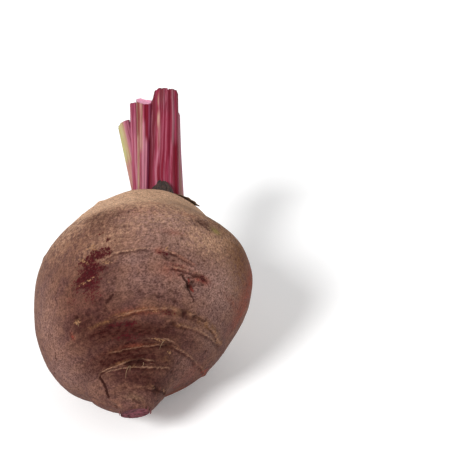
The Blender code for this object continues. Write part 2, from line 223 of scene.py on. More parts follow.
# Soft areas of each tint: station, angle, half width round the root and along it, strength
AREAS = {
    # Scurf covers the top of the shoulder most, and its tan there stands partly for painted light
    "scurf": (
        (31.0, 92, 60.0, 9.5, 0.96), (24.0, 97, 21.0, 8.5, 0.92), (15.0, 60, 22.0, 7.0, 0.26),
        (9.0, 138, 15.0, 10.0, 0.3), (1.0, 54, 15.0, 8.0, 0.52), (-4.0, 110, 12.0, 7.0, 0.32),
        (-8.0, 28, 12.0, 12.0, 0.26), (7.0, 38, 6.0, 5.0, 0.3), (30.0, -90, 60.0, 16.0, 0.75),
        (6.0, 195, 24.0, 24.0, 0.42), (4.0, -20, 24.0, 22.0, 0.42), (-22.0, 150, 8.0, 12.0, 0.1),
        (2.0, 100, 16.0, 9.0, 0.3), (-14.0, 146, 10.0, 10.0, 0.12), (8.0, 84, 12.0, 6.5, 0.06),
    ),
    "bloom": (
        (9.6, 78, 17.0, 8.0, 1.0), (-7.0, 84, 14.0, 7.0, 0.44), (-18.0, 84, 15.0, 5.0, 0.4),
        (-12.0, 34, 14.0, 12.0, 1.0), (-17.0, 156, 9.0, 16.0, 0.46), (-32.0, 174, 12.0, 8.0, 0.52),
        (-46.8, 84, 8.0, 2.4, 0.24), (-43.0, 138, 8.0, 5.0, 0.12), (-9.6, 92, 3.0, 2.0, 0.5),
        (-36.0, 15, 8.0, 5.0, 0.42), (-34.5, -12, 7.0, 5.0, 0.4), (-38.0, 152, 9.0, 6.0, 0.34),
        (6.0, -90, 50.0, 20.0, 0.4), (-27.0, 20, 10.0, 5.0, 0.5), (1.0, 70, 15.0, 7.0, 0.7),
        (10.0, 55, 8.0, 7.0, 0.6), (-13.0, 60, 7.5, 5.5, 0.85),
    ),
    # Deep maroon: the skin's own dark patches. Those low on the root and under it are also painted shade,
    # darker than the skin itself.
    "deep": (
        (-37.4, 38, 11.0, 3.2, 0.34), (-31.5, 88, 23.0, 4.4, 0.99), (-37.0, 92, 17.0, 4.2, 0.97),
        (-42.5, 82, 13.0, 3.6, 0.72), (-25.6, 122, 11.0, 5.5, 0.76), (-29.6, 110, 8.0, 3.0, 0.97),
        (-36.4, 112, 9.0, 3.0, 0.7), (-34.4, 90, 14.0, 2.4, 0.95), (-15.0, 124, 9.0, 8.0, 0.4),
        (8.4, 110, 7.0, 4.5, 0.34), (10.4, 57, 4.4, 2.3, 0.74), (3.4, 38, 2.6, 3.0, 0.34),
        (13.5, 114, 6.5, 3.4, 0.38), (-26.2, 98, 4.0, 2.0, 0.34), (11.4, 100, 2.4, 1.0, 0.35),
        (-32.0, 40, 10.0, 3.0, 0.14), (-43.0, 25, 8.0, 4.0, 0.22), (-35.0, -60, 40.0, 14.0, 0.4),
        (-21.0, 88, 18.0, 4.0, 0.24), (-36.0, 140, 10.0, 6.0, 0.4), (-12.0, 104, 6.0, 5.0, 0.4),
        (-21.0, 107, 5.5, 5.0, 0.5), (-46.5, 150, 8.0, 3.0, 0.2), (-44.0, 60, 8.0, 3.0, 0.35),
        (-46.4, 86, 8.0, 2.6, 0.46), (6.0, 28, 3.0, 4.0, 0.3), (-2.0, 100, 3.5, 4.0, 0.22),
        (-30.0, -44, 6.0, 5.0, 0.3),
    ),
    "blush": (
        (-26.4, 84, 8.5, 1.5, 0.52), (-12.5, 68, 6.0, 3.4, 0.5), (-19.2, 113, 4.0, 3.0, 0.14),
        (-34.6, 85, 4.5, 0.8, 0.34), (-34.5, -12, 7.0, 6.0, 0.3), (1.0, 9, 6.5, 13.0, 0.95),
        (1.0, 8, 5.0, 12.0, 0.6), (-12.0, 2, 4.0, 8.0, 0.75), (17.0, 84, 4.0, 1.2, 0.35),
        (12.6, 66, 3.6, 1.0, 0.4), (-24.5, -37, 4.6, 6.0, 0.85), (-30.5, -50, 4.2, 4.0, 0.85),
        (-33.0, -64, 4.6, 4.0, 0.8), (-27.2, 135.5, 0.8, 1.6, 0.6), (2.0, 73, 5.0, 1.2, 0.4),
        (-18.0, 126, 5.0, 6.0, 0.08), (-13.6, 51, 4.2, 1.5, 0.9), (-6.3, 79, 1.8, 1.2, 0.75),
        (-14.0, 20, 6.0, 1.5, 0.45), (12.0, 88, 8.0, 3.0, 0.24), (3.0, 24, 5.0, 7.0, 0.35),
    ),
    "tan": (
        (4.0, 28, 6.0, 8.0, 0.55), (-27.7, 107, 6.5, 0.7, 0.72), (-26.7, 98, 3.5, 0.6, 0.5),
        (15.0, 36, 14.0, 13.0, 0.6), (22.0, 58, 9.0, 8.0, 0.82), (-2.0, 22, 7.0, 12.0, 0.5),
        (-26.1, 30, 6.0, 1.5, 0.7), (-25.2, 21, 6.0, 1.2, 0.6), (-34.0, 62, 5.5, 1.0, 0.3),
        (-29.2, 54, 2.4, 0.9, 0.65), (-38.1, 98, 5.0, 0.6, 0.55), (-26.4, 62, 5.0, 1.0, 0.35),
        (-36.4, 44, 3.0, 1.6, 0.4),
    ),
    "green": (
        (9.4, 48.6, 2.3, 1.5, 1.0), (-47.6, 86, 4.0, 1.3, 0.12),
    ),
}

# Patches with broken edges of each tint: station, angle, half width round the root and along it,
# tilt, strength
PATCHES = {
    "bare": (
        (-8.4, 114.5, 4.6, 2.9, 25, 1.0), (-11.2, 117.5, 2.8, 2.6, 0, 1.0),
        (-9.0, 111.0, 1.8, 1.5, 15, 0.8), (-9.8, 115.4, 3.0, 2.2, 20, 1.0),
        (-5.2, 113, 3.4, 1.2, 10, 0.9), (-4.4, 110, 1.7, 1.0, 20, 1.0), (-3.4, 107, 1.7, 0.8, 15, 1.0),
        (-2.4, 113.6, 1.0, 0.7, 0, 0.9), (-5.2, 104, 0.8, 0.7, 0, 0.9), (-6.2, 108, 1.2, 0.8, -20, 0.4),
        (-14.6, 112.5, 2.6, 2.2, 0, 0.66), (-18.0, 113.5, 2.6, 2.8, 0, 0.48),
        (-12.6, 124, 2.0, 1.6, 0, 0.45), (-17.0, 128, 2.4, 1.8, 0, 0.35), (0.6, 106, 0.8, 0.9, 0, 0.7),
        (4.2, 109, 1.2, 0.9, 0, 0.5), (-29.5, 96, 3.6, 0.8, 0, 0.62), (-29.9, 91, 2.4, 1.0, 0, 0.55),
        (-32.6, 93, 4.2, 1.8, 0, 0.52), (-7.4, 77, 1.8, 0.8, 10, 0.6), (-13.0, 49, 2.2, 1.2, 20, 0.6),
        (-26.2, 65, 2.6, 0.9, 0, 0.45),
    ),
    "red": (
        (-15.4, 58.4, 1.1, 0.42, 60, 1.0), (-17.4, 54.4, 1.3, 0.46, 55, 1.0),
        (-13.9, 52.0, 2.0, 0.4, 10, 0.4), (-19.4, 116.0, 2.2, 0.6, 20, 0.14),
        (-18.8, 116.5, 1.2, 0.5, 30, 0.14), (-34.6, 83, 2.6, 0.5, 0, 0.2),
        (-27.4, 136, 0.4, 1.3, 0, 0.45), (-30.0, -20, 0.9, 2.0, 0, 0.6), (-28.5, -28, 1.3, 1.3, 0, 0.7),
        (-40.0, -30, 1.0, 0.6, 0, 0.45), (-43.6, -24, 0.7, 1.4, 0, 0.6), (-36.6, -28, 0.6, 1.6, 0, 0.6),
    ),
    "gold": (
        (-12.9, 117, 3.4, 0.5, -4, 0.45), (-24.1, 127, 1.1, 0.9, 0, 0.66), (-15.6, 104, 0.9, 0.5, 0, 0.3),
        (-0.6, 115, 2.2, 1.0, 20, 0.45), (-33.2, 64, 2.6, 0.4, 0, 0.7), (-35.2, 48, 1.2, 0.5, 0, 0.7),
        (-39.9, 83, 1.0, 0.6, 0, 0.6), (-4.2, 120, 1.6, 0.5, 30, 0.55), (-6.2, 116.5, 1.0, 0.4, 50, 0.5),
        (-26.3, 74, 1.6, 0.5, 0, 0.35), (-8.4, 106, 2.0, 0.6, 15, 0.5), (-5.2, 75.5, 0.35, 0.8, 20, 0.9),
        (-44.0, 37, 1.4, 0.5, 0, 0.45), (-42.8, 6, 1.3, 0.4, 0, 0.6), (-24.7, 51, 1.5, 0.3, 0, 0.5),
    ),
}

# Cork over the whole shoulder: the stations that it thickens between, its strength, and how far and
# over what width its edge swings
SCURF_STATIONS = (-8.0, 31.0)
SCURF_STRENGTH = 0.72
SCURF_SWING, SCURF_SWING_WIDTH = 4.0, 9.0

# Crown: the stations that its cork starts between, the spacing and height of its rings of leaf scars,
# and the height of its crumbs
CROWN_STATIONS = (36.5, 40.5)
SCAR_SPACING = 1.9
SCAR_HEIGHT = 0.42
CRUMB_HEIGHT = 0.22

# Leaf stalks: place on the crown (right, up), the way the ribbed back faces, lean to the right and
# up, length above the crown, width at foot and at the cut, thickness, grooves across the back from
# -1 to 1, lean of the cut towards the back, its tilt to the side, and bow to the back. A notch in the
# cut is (across, half width, depth). A stripe of a tint is (turn round the stalk, half width, from, to,
# strength), where turn 0 to 180 crosses the back and 180 to 360 the front, and from and to are shares
# of the length. What a stalk doesn't give is as in the plain one.
PLAIN_STALK = dict(cut_lean=0, cut_tilt=0, bow=0.0, notches=(), stripes={})
STALKS = {
    "stalk_right": dict(
        place=(4.5, 3.7), facing=83, lean=(-3.4, 13.0), length=50.3, width=(12.8, 11.2),
        thickness=6.2, grooves=(-1, -0.70, -0.36, 0.02, 0.26, 0.62, 1), cut_lean=-4, bow=0.5,
        notches=((1.0, 0.17, 5.0), (0.72, 0.12, 0.7), (-0.22, 0.06, 0.9), (-1.0, 0.10, 0.9)),
        stripes=dict(
            maroon=((18, 27, 0.0, 1.0, 0.9), (92, 26, 0.8, 1.0, 0.45)),
            cream=((58, 6, 0.68, 0.76, 0.95), (57, 4, 0.86, 0.92, 0.65), (62, 5, 0.48, 0.66, 0.4)),
            pale=((68, 4, 0.42, 0.62, 0.35), (92, 3, 0.0, 0.8, 0.28), (60, 4, 0.0, 0.42, 0.6),
                  (78, 2.5, 0.0, 0.9, 0.24), (113, 3, 0.0, 0.5, 0.4)),
            grey=((121, 6, 0.52, 1.0, 0.75), (74, 10, 0.88, 1.0, 0.4)),
            deep=((105, 5, 0.4, 1.0, 0.64), (70, 5, 0.0, 0.3, 0.9), (84, 3, 0.1, 0.8, 0.42),
                  (140, 20, 0.0, 0.5, 1.0), (152, 14, 0.4, 1.0, 0.65), (98, 3, 0.0, 0.6, 0.36)))),
    "stalk_middle": dict(
        place=(-3.4, 3.6), facing=98, lean=(-4.0, 13.0), length=46.2, width=(5.2, 6.8),
        thickness=5.2, grooves=(-1, -0.35, 0.12, 0.5, 1), cut_lean=44, cut_tilt=14, bow=0.4,
        stripes=dict(
            brown=((34, 22, 0.64, 0.98, 0.95),),
            olive=((50, 14, 0.12, 0.64, 0.85),),
            cream=((76, 14, 0.5, 1.0, 0.85),),
            pale=((92, 16, 0.5, 0.74, 0.95), (100, 25, 0.0, 0.56, 0.85)),
            deep=((122, 15, 0.3, 1.0, 0.95), (154, 18, 0.0, 0.6, 0.7)),
            plum=((136, 11, 0.08, 0.55, 0.9),),
            mauve=((150, 16, 0.62, 1.0, 0.85),),
            grey=((122, 7, 0.0, 0.1, 0.7),))),
    "stalk_narrow": dict(
        place=(-5.7, -0.8), facing=104, lean=(-6.8, 12.0), length=48.1, width=(4.2, 3.6),
        thickness=2.8, grooves=(-1, 0.0, 1), bow=0.2,
        stripes=dict(
            mauve=((30, 24, 0.3, 1.0, 0.5), (90, 20, 0.7, 1.0, 0.6)),
            pale=((62, 7, 0.6, 1.0, 0.55), (96, 15, 0.0, 0.85, 0.8)),
            plum=((146, 16, 0.0, 1.0, 0.85),),
            deep=((118, 6, 0.5, 1.0, 0.5),))),
    "stalk_left": dict(
        place=(-3.1, -6.0), facing=172, lean=(-15.3, 11.0), length=43.8, width=(6.6, 7.4),
        thickness=5.6, grooves=(-1, -0.45, 0.1, 0.55, 1), cut_lean=12,
        stripes=dict(
            green=((113, 43, 0.6, 1.0, 1.0),),
            cream=((110, 42, 0.0, 0.6, 0.78),),
            pale=((166, 10, 0.0, 1.0, 0.7), (188, 14, 0.1, 1.0, 0.6)),
            mauve=((206, 14, 0.0, 1.0, 0.7),))),
    "stalk_far_right": dict(
        place=(10.25, -3.4), facing=-14, lean=(-6.3, 11.0), length=45.5, width=(8.0, 7.0),
        thickness=4.4, grooves=(-1, -0.5, 0.0, 0.5, 1), cut_lean=-6, bow=-0.3,
        # Its pale and cream stripes are lighter than its own colours: painted light on a strip that lies in
        # the right stalk's shade
        stripes=dict(
            pale=((34, 40, 0.0, 1.0, 0.9),),
            cream=((14, 16, 0.15, 0.9, 0.75),),
            mauve=((70, 14, 0.0, 1.0, 0.5),))),
    "stalk_back": dict(
        place=(3.2, -6.6), facing=268, lean=(-4.0, 8.0), length=46.0, width=(9.2, 8.0),
        thickness=4.8, grooves=(-1, -0.55, -0.1, 0.4, 1), cut_lean=8, bow=0.4,
        stripes=dict(
            pale=((60, 8, 0.0, 1.0, 0.6), (150, 6, 0.0, 0.8, 0.5)),
            deep=((84, 10, 0.1, 1.0, 0.7),),
            olive=((120, 14, 0.2, 1.0, 0.7),),
            cream=((40, 6, 0.5, 0.9, 0.5),))),
    "stalk_inner": dict(
        place=(1.6, -1.6), facing=262, lean=(-3.6, 10.4), length=38.0, width=(4.6, 4.0),
        thickness=2.4, grooves=(-1, 0.0, 1),
        stripes=dict(
            pale=((90, 20, 0.0, 1.0, 0.6),),
            green=((270, 30, 0.2, 1.0, 0.5),))),
}

# Dried leaf base, a short stalk with a mesh of its own
LEAF_BASE = dict(
    place=(4.1, 9.6), facing=88, lean=(-3.0, 14.0), length=6.4, width=(9.2, 2.4),
    thickness=3.0, grooves=(-1, -0.5, 0.1, 0.55, 1), cut_lean=26, bow=0.3)
LEAF_BASE_MESH = dict(rows=48, columns=120, cap_rows=10)

# Every stalk: rings over its cut, how deep its foot stands in the crown, its tints, depth of its ribs
# and of the finer ones, the share of its thickness on the back, how full its section is, how its front
# counts among the ribs, and the groove down the front
STALK_CAP_ROWS = 12
STALK_FOOT = 3.6
STALK_TINTS = ("deep", "maroon", "pale", "cream", "olive", "brown", "green", "grey", "mauve", "plum")
RIB_DEPTH = 0.40
FINE_RIB_DEPTH = 0.12
BACK_SHARE = 0.62
SECTION_FULLNESS = 0.8
FRONT_RIB = 0.55
FRONT_GROOVE_SHARE = 0.16
FRONT_GROOVE_HALF_WIDTH = 0.5
# How a stalk widens to its foot and wanders on its way, and how uneven its cut is
FOOT_FLARE, FOOT_FLARE_LENGTH = 0.10, 2.5
STALK_WANDER, STALK_WANDER_LENGTH = 0.12, 9.0
CUT_ROUGHNESS = 0.10
CUT_GRAIN, CUT_GRAIN_WIDTH = 0.09, 0.8

# Papery scrap: (station, angle) of its two ends, how far it stands off the shoulder, its width, what
# share of it is left at the ends, how ragged it is, its thickness, the curl of its outer edge and its
# ripple
SCRAP_ENDS = ((42.6, 60.0), (37.8, 34.0))
SCRAP_LIFT = 0.35
SCRAP_WIDTH = 4.0
SCRAP_END_SHARE = 0.50
SCRAP_RAGGED = 0.11
SCRAP_THICKNESS = 0.385
SCRAP_CURL = 1.1
SCRAP_RIPPLE = 0.16
SCRAP_ROWS = 64
SCRAP_SIDES = 40

# Hair roots, as (station, angle, height off the skin) points, and the torn rim of the tail, whose
# tags are flattened
HAIRS = (
    ((-39.7, 88, 0.1), (-40.6, 89, 0.5), (-41.8, 90.5, 0.45), (-43.2, 92.5, 0.15)),
    ((-39.7, 87, 0.1), (-40.4, 86, 0.35), (-41.4, 85.3, 0.15)),
    ((-38.7, 72, 0.1), (-39.4, 70, 0.4), (-40.1, 71, 0.1)),
    ((-33.4, 60, 0.1), (-34.2, 61, 0.5), (-35.2, 60, 0.15)),
    ((-24.0, 128, 0.1), (-24.9, 127, 0.5), (-25.8, 127.6, 0.1)),
)
HAIR_RADIUS = 0.11
TAIL_TAGS = (
    ((-48.4, 8, 0.0), (-49.4, 4, 0.4), (-50.3, 0, 0.5)),
    ((-48.8, 25, 0.0), (-50.0, 27, 0.25), (-50.9, 29, 0.1)),
    ((-48.0, -10, 0.0), (-48.8, -14, 0.45), (-49.5, -16, 0.6)),
    ((-50.4, 168, 0.0), (-51.3, 172, 0.3), (-52.0, 176, 0.1)),
)
TAG_RADIUS = 0.55
TAG_FLATNESS = 0.45
# Rings along a strand, points round it, and how much thinner its end is
STRAND_STEPS = 14
STRAND_SIDES = 8
STRAND_TAPER = 0.65

# Camera, as the photograph was taken: direction from the belly, distance, and the point it looks at
# beside and above the belly
CAMERA_AZIMUTH = radians(5)
CAMERA_ELEVATION = radians(34)
CAMERA_DISTANCE = 0.650
CAMERA_ROLL = radians(1.914)
CAMERA_LENS = 127.93
CAMERA_SENSOR = 36.0
AIM_RIGHT = 0.03517
AIM_UP = 0.02567

# Light: where the soft key light and the weak fill light come from. The floor is just below zero.
KEY_FROM = Vector((-0.42, -0.69, 0.62))
FILL_FROM = Vector((0.55, -0.75, 0.36))
FLOOR_GAP = 0.00005


def smoothstep(low, high, value):
    """0 below low, 1 above high and a smooth rise between them."""
    share = np.clip((value - low) / (high - low), 0.0, 1.0)
    return share * share * (3 - 2 * share)


def bell(gap, half_width=1.0):
    """1 where the gap is nothing, and fading away past the half width."""
    return np.exp(-((gap / half_width) ** 2))


def running_sum(steps):
    """0, and then the sum up to each step."""
    return np.concatenate(([0.0], np.cumsum(steps)))


def unit(vectors):
    """Vectors of the same directions, one long."""
    return vectors / np.linalg.norm(vectors, axis=-1, keepdims=True)


def turn_from(middle, angle):
    """Degrees from a middle to each angle, from -180 to 180."""
    return (angle - middle + 180.0) % 360.0 - 180.0


def laid_over(mask, share):
    """A mask from 0 to 1 with one more share laid over it."""
    return 1 - (1 - mask) * (1 - np.clip(share, 0.0, 1.0))


def lattice_noise(points, seed):
    """Smooth random values from -1 to 1 over space, whose features are about one unit wide."""
    drawn = np.random.default_rng(seed).uniform(-1.0, 1.0, NOISE_VALUES)
    cell = np.floor(points).astype(np.int64)
    share = smoothstep(0.0, 1.0, points - cell)
    total = np.zeros(points.shape[:-1])
    for corner in np.ndindex(2, 2, 2):
        key = np.bitwise_xor.reduce((cell + np.array(corner)) * NOISE_PRIMES, axis=-1) % NOISE_VALUES
        total += drawn[key] * np.prod(np.where(corner, share, 1 - share), axis=-1)
    return total


def rough_noise(points, seed, octaves=3):
    """Lattice noise with finer and fainter layers on top."""
    return sum(lattice_noise(points * FINER_LAYER**i, seed + i) / 2**i for i in range(octaves))


def on_line(places, row=0.0):
    """Points for noise along one line, which is another line for each row."""
    return np.stack((places, 0 * places, 0 * places + row), axis=-1)


def profile_at(station):
    """Radius, wander and ring lean of the root at each station, on a smooth curve through the rows."""
    last = len(ROOT_PROFILE) - 1
    here = np.clip(np.searchsorted(ROOT_PROFILE[:, 0], station, side="right") - 1, 0, last - 1)
    before = ROOT_PROFILE[np.maximum(here - 1, 0)]
    start = ROOT_PROFILE[here]
    end = ROOT_PROFILE[here + 1]
    after = ROOT_PROFILE[np.minimum(here + 2, last)]
    span = (end - start)[..., :1]
    t = np.clip((np.asarray(station)[..., None] - start[..., :1]) / span, 0.0, 1.0)
    slope_start = (end - before) / (end - before)[..., :1] * span
    slope_end = (after - start) / (after - start)[..., :1] * span
    values = ((2 * t**3 - 3 * t**2 + 1) * start + (t**3 - 2 * t**2 + t) * slope_start
              + (3 * t**2 - 2 * t**3) * end + (t**3 - t**2) * slope_end)
    return values[..., 1], values[..., 2], values[..., 3]


def root_points(station, angle, lift=0.0):
    """Points of the smooth root in the axis frame, in millimetres; angle in degrees."""
    radius, wander, lean = profile_at(station)
    turn = np.radians(angle)
    share = np.minimum(radius / BELLY_RADIUS, 1.0)
    waves = sum(size * np.cos(count * (turn - crest)) for count, size, crest in ROOT_WAVES)
    radius = radius * (1 + share * waves) + lift
    right = radius * np.cos(turn)
    return np.stack((right + wander, -radius * np.sin(turn), station + lean * right), axis=-1)


class RootGrid:
    """Rows and columns of points over the root, with the lengths that its marks are measured by."""

    def __init__(self, rows, columns):
        self.fine_station = np.linspace(ROOT_PROFILE[0, 0], CROWN_STATION, PROFILE_SAMPLES)
        fine_radius = profile_at(self.fine_station)[0]
        self.fine_length = running_sum(np.hypot(np.diff(self.fine_station), np.diff(fine_radius)))
        self.station, self.angle = np.meshgrid(
            self.row_stations(rows), self.column_angles(columns), indexing="ij")
        self.end_on_tail_cut()
        self.around = profile_at(self.station)[0]
        self.length = np.interp(self.station, self.fine_station, self.fine_length)
        slope = np.gradient(self.fine_length, self.fine_station)
        self.along = np.interp(self.station, self.fine_station, slope)
        self.points = root_points(self.station, self.angle)
        self.normal = self.outward_normals()
        turn = np.radians(self.angle)
        self.growth = np.stack(
            (self.around * np.cos(turn), -self.around * np.sin(turn), self.length), axis=-1)

    def row_stations(self, rows):
        """Stations of the rows, from the tail cut to the crown."""
        away = (self.fine_station - LOWER_ROW_START) / LOWER_ROW_FADE
        weight = 1 - LOWER_ROW_BIAS * np.tanh(away)
        reach = running_sum((weight[1:] + weight[:-1]) / 2 * np.diff(self.fine_length))
        start = np.interp(TAIL_CUT_STATION, self.fine_station, reach)
        return np.interp(np.linspace(start, reach[-1], rows), reach, self.fine_station)

    def column_angles(self, columns):
        """Angles of the columns, from the seam once round."""
        turn = np.linspace(0.0, 2 * pi, TURN_SAMPLES)
        density = 1 + UPPER_SIDE_BIAS * np.cos(turn + radians(SEAM_ANGLE - 90))
        reach = running_sum((density[1:] + density[:-1]) / 2)
        return SEAM_ANGLE + np.interp(np.arange(columns) / columns, reach / reach[-1], np.degrees(turn))

    def end_on_tail_cut(self):
        """Move the rows near the tail so that they run out on the slanting knife cut."""
        cut = np.full(self.station.shape[1], TAIL_CUT_STATION)
        turn = np.radians(self.angle[0])
        middle = profile_at(np.array(TAIL_CUT_STATION))[1]
        lean_right, lean_up = (tan(angle) for angle in TAIL_CUT_LEAN)
        for _ in range(TAIL_CUT_STEPS):
            radius, wander, ring_lean = profile_at(cut)
            right = radius * np.cos(turn)
            cut = TAIL_CUT_STATION + (right + wander - middle) * lean_right
            cut += radius * np.sin(turn) * lean_up - ring_lean * right
        share = (TAIL_BLEND_STATION - self.station) / (TAIL_BLEND_STATION - TAIL_CUT_STATION)
        self.station = self.station + np.clip(share, 0.0, 1.0) * (cut - TAIL_CUT_STATION)

    def outward_normals(self):
        """The way the skin faces at each point."""
        along = np.gradient(self.points, axis=0)
        wrapped = np.concatenate((self.points[:, -1:], self.points, self.points[:, :1]), axis=1)
        across = np.gradient(wrapped, axis=1)[:, 1:-1]
        return unit(np.cross(along, across))

    def offsets(self, station, angle):
        """How far each point lies round the root and along its skin from a place, in millimetres."""
        middle_radius = (self.around + float(profile_at(np.array(station))[0])) / 2
        place = np.interp(station, self.fine_station, self.fine_length)
        return np.radians(turn_from(angle, self.angle)) * middle_radius, self.length - place

    def line_distance(self, path):
        """Distance of each point to a line of (station, angle) points on the skin."""
        corners = [root_points(np.array(station), np.array(float(angle))) for station, angle in path]
        nearest = np.full(self.station.shape, np.inf)
        for start, end in zip(corners, corners[1:]):
            span = end - start
            share = np.clip((self.points - start) @ span / (span @ span), 0.0, 1.0)
            gap = np.linalg.norm(self.points - start - share[..., None] * span, axis=-1)
            nearest = np.minimum(nearest, gap)
        return nearest


def fold_bands(grid, fold):
    """Gap to a fold's edge in millimetres, plus towards the crown, how whole its edge line is, and how
    near each point is to its lip, shoulder and crease, from 0 to 1."""
    angles = [angle for angle, _station in fold["path"]]
    stations = [station for _angle, station in fold["path"]]
    waver = sum(size * lattice_noise(grid.points / width, seed) for width, size, seed in FOLD_WAVER)
    across = (grid.station - np.interp(grid.angle, angles, stations)) * grid.along + waver
    past = np.maximum(angles[0] - grid.angle, grid.angle - angles[-1])
    ends = 1 - smoothstep(-FOLD_END_FADE, FOLD_END_FADE, np.radians(past) * grid.around)
    breaks = np.clip(0.72 + 0.62 * rough_noise(grid.points / 5.0, seed=37), 0.0, 1.0)
    width = fold["lip"] * (1 + 0.5 * lattice_noise(grid.points / 7.0, seed=39))
    lip = bell(across, width) * ends * (0.35 + 0.65 * breaks)
    shoulder = bell(across, SHOULDER_WIDTH * width) * (across > 0) * ends
    crease = bell(across + CREASE_OFFSET * width, CREASE_WIDTH * width) * ends * breaks
    low, high = fold["seen"]
    seen = smoothstep(low - SEEN_FADE, low + SEEN_FADE, grid.angle)
    seen *= smoothstep(high + SEEN_FADE, high - SEEN_FADE, grid.angle)
    return across, ends * breaks * seen, lip, shoulder, crease


class SkinMarks:
    """Relief of the skin in millimetres, and masks from 0 to 1 for its tints and lines."""

    def __init__(self, grid):
        self.grid = grid
        self.relief = np.zeros(grid.station.shape)
        self.masks = {tint: np.zeros(grid.station.shape) for tint in SKIN_TINTS}
        self.roughen()
        self.add_folds()
        self.add_cracks()
        self.add_pits()
        self.add_knobs()
        self.add_areas()
        self.add_patches()
        self.spread_scurf()
        self.add_crown()

    def stain(self, tint, share):
        """Lay a share of a tint over what is there of it."""
        self.masks[tint] = laid_over(self.masks[tint], share)

    def roughen(self):
        """Give the whole skin its waves, grain and streaks."""
        grid = self.grid
        streaks = rough_noise(grid.growth / STREAK_WIDTHS, seed=11)
        streak_height = SHOULDER_STREAK_HEIGHT + MORE_AT_TAIL * smoothstep(*STREAK_STATIONS, grid.station)
        grain = GRAIN_HEIGHT * rough_noise(grid.points / GRAIN_WIDTH, seed=5)
        self.relief += WAVE_HEIGHT * rough_noise(grid.points / WAVE_WIDTH, seed=3, octaves=2)
        self.relief += grain + streak_height * streaks

    def add_folds(self):
        """Raise the growth folds and keep the gap to the nearest one's edge line."""
        nearest = np.full(self.relief.shape, FAR)
        line = np.zeros(self.relief.shape)
        for fold in FOLDS.values():
            across, whole, lip, shoulder, crease = fold_bands(self.grid, fold)
            shown = smoothstep(0.0, 0.3, whole)
            lift = fold["rise"] * (0.75 * lip + 0.35 * shoulder) - fold["crease"] * crease
            self.relief += lift * (0.4 + 0.6 * shown)
            self.stain("tan", fold.get("tan", 0.0) * lip * shown)
            self.stain("blush", fold.get("red", 0.0) * lip)
            # Deep maroon in the crease under the fold: painted shade
            self.stain("deep", 0.65 * crease * (0.3 + 0.7 * shown))
            nearer = (np.abs(across) < np.abs(nearest)) & (whole > 0.02)
            nearest = np.where(nearer, across, nearest)
            # The nearest fold's strength for its painted shade line and its pale lip line, which is partly a
            # painted highlight
            line = np.where(nearer, fold["pale"] * whole, line)
        self.masks["fold_gap"] = np.clip(nearest, -FAR, FAR)
        self.masks["fold_shade_and_highlight"] = line

    def add_cracks(self):
        """Cut the cracks, with a low rim beside each, and keep the gap to the nearest one."""
        nearest = np.full(self.relief.shape, FAR)
        line = np.zeros(self.relief.shape)
        for path, half_width, depth, darkness in CRACKS:
            gap = self.grid.line_distance(path)
            self.relief -= depth * bell(gap, half_width)
            self.relief += 0.18 * depth * bell(gap - 2.2 * half_width, half_width)
            outside = np.maximum(gap - half_width, 0.0)
            nearer = outside < nearest
            nearest = np.where(nearer, outside, nearest)
            line = np.where(nearer, darkness, line)
        self.masks["crack_gap"] = nearest
        self.masks["crack_line"] = line

    def add_pits(self):
        """Sink the pits, which are wider round the root than along it, with a low rim."""
        for station, angle, radius, depth in PITS:
            round_it, along_it = self.grid.offsets(station, angle)
            gap = np.hypot(round_it / 1.35, along_it) / (1.2 * radius)
            gap += 0.30 * lattice_noise(self.grid.points / 1.1, seed=53)
            self.relief -= depth * bell(gap)
            self.relief += 0.20 * depth * bell(gap - 1.7, 0.5)
            # Dark in the pit, darker the deeper it is: partly its own dark and partly painted shade
            self.stain("dark", min(0.97, 0.58 + 0.60 * depth) * bell(gap))

    def add_knobs(self):
        """Raise the knobs."""
        for station, angle, radius, height in KNOBS:
            self.relief += height * bell(np.hypot(*self.grid.offsets(station, angle)), radius)

    def add_areas(self):
        """Stain the soft areas."""
        for tint, areas in AREAS.items():
            for station, angle, half_round, half_along, strength in areas:
                round_it, along_it = self.grid.offsets(station, angle)
                self.stain(tint, strength * bell(np.hypot(round_it / half_round, along_it / half_along)))

    def add_patches(self):
        """Stain the patches, and sink the bare ones and raise the golden ones a little."""
        ragged = 0.55 * rough_noise(self.grid.growth / (2.6, 2.6, 1.5), seed=71)
        for tint, patches in PATCHES.items():
            for station, angle, half_round, half_along, tilt, strength in patches:
                round_it, along_it = self.grid.offsets(station, angle)
                turned_round = round_it * cos(radians(tilt)) + along_it * sin(radians(tilt))
                turned_along = along_it * cos(radians(tilt)) - round_it * sin(radians(tilt))
                spread = np.hypot(turned_round / half_round, turned_along / half_along)
                spread += ragged * min(1.0, half_along)
                self.stain(tint, strength * smoothstep(1.9, 0.45, spread))
        self.relief -= 0.10 * self.masks["bare"] - 0.08 * self.masks["gold"]

    def spread_scurf(self):
        """Cover the shoulder with cork, which is thinner on the dark areas."""
        swing = SCURF_SWING * rough_noise(self.grid.points / SCURF_SWING_WIDTH, seed=81)
        self.stain("scurf", SCURF_STRENGTH * smoothstep(*SCURF_STATIONS, self.grid.station + swing))
        self.masks["scurf"] *= 1 - 0.6 * self.masks["deep"]

    def add_crown(self):
        """Raise the corky crown's crumbs and its broken rings of scars, where leaves were shed."""
        grid = self.grid
        crown = smoothstep(*CROWN_STATIONS, grid.station + 1.2 * lattice_noise(grid.points / 6.0, seed=91))
        swing = 1.6 * lattice_noise(grid.points / 5.0, seed=93)
        rings = np.sin(grid.length * 2 * pi / SCAR_SPACING + swing)
        broken = 0.5 + 0.5 * lattice_noise(grid.points / (3.6, 3.6, 2.0), seed=95)
        crumbs = CRUMB_HEIGHT * rough_noise(grid.points / 1.3, seed=97)
        self.relief += crown * (SCAR_HEIGHT * rings * broken + crumbs)
        self.masks["crown"] = crown


def face_rings(rim, shares):
    """Rings on the face inside a rim, which are shares of its size."""
    centre = rim.mean(axis=0)
    return centre + (rim - centre) * shares[:, None, None]


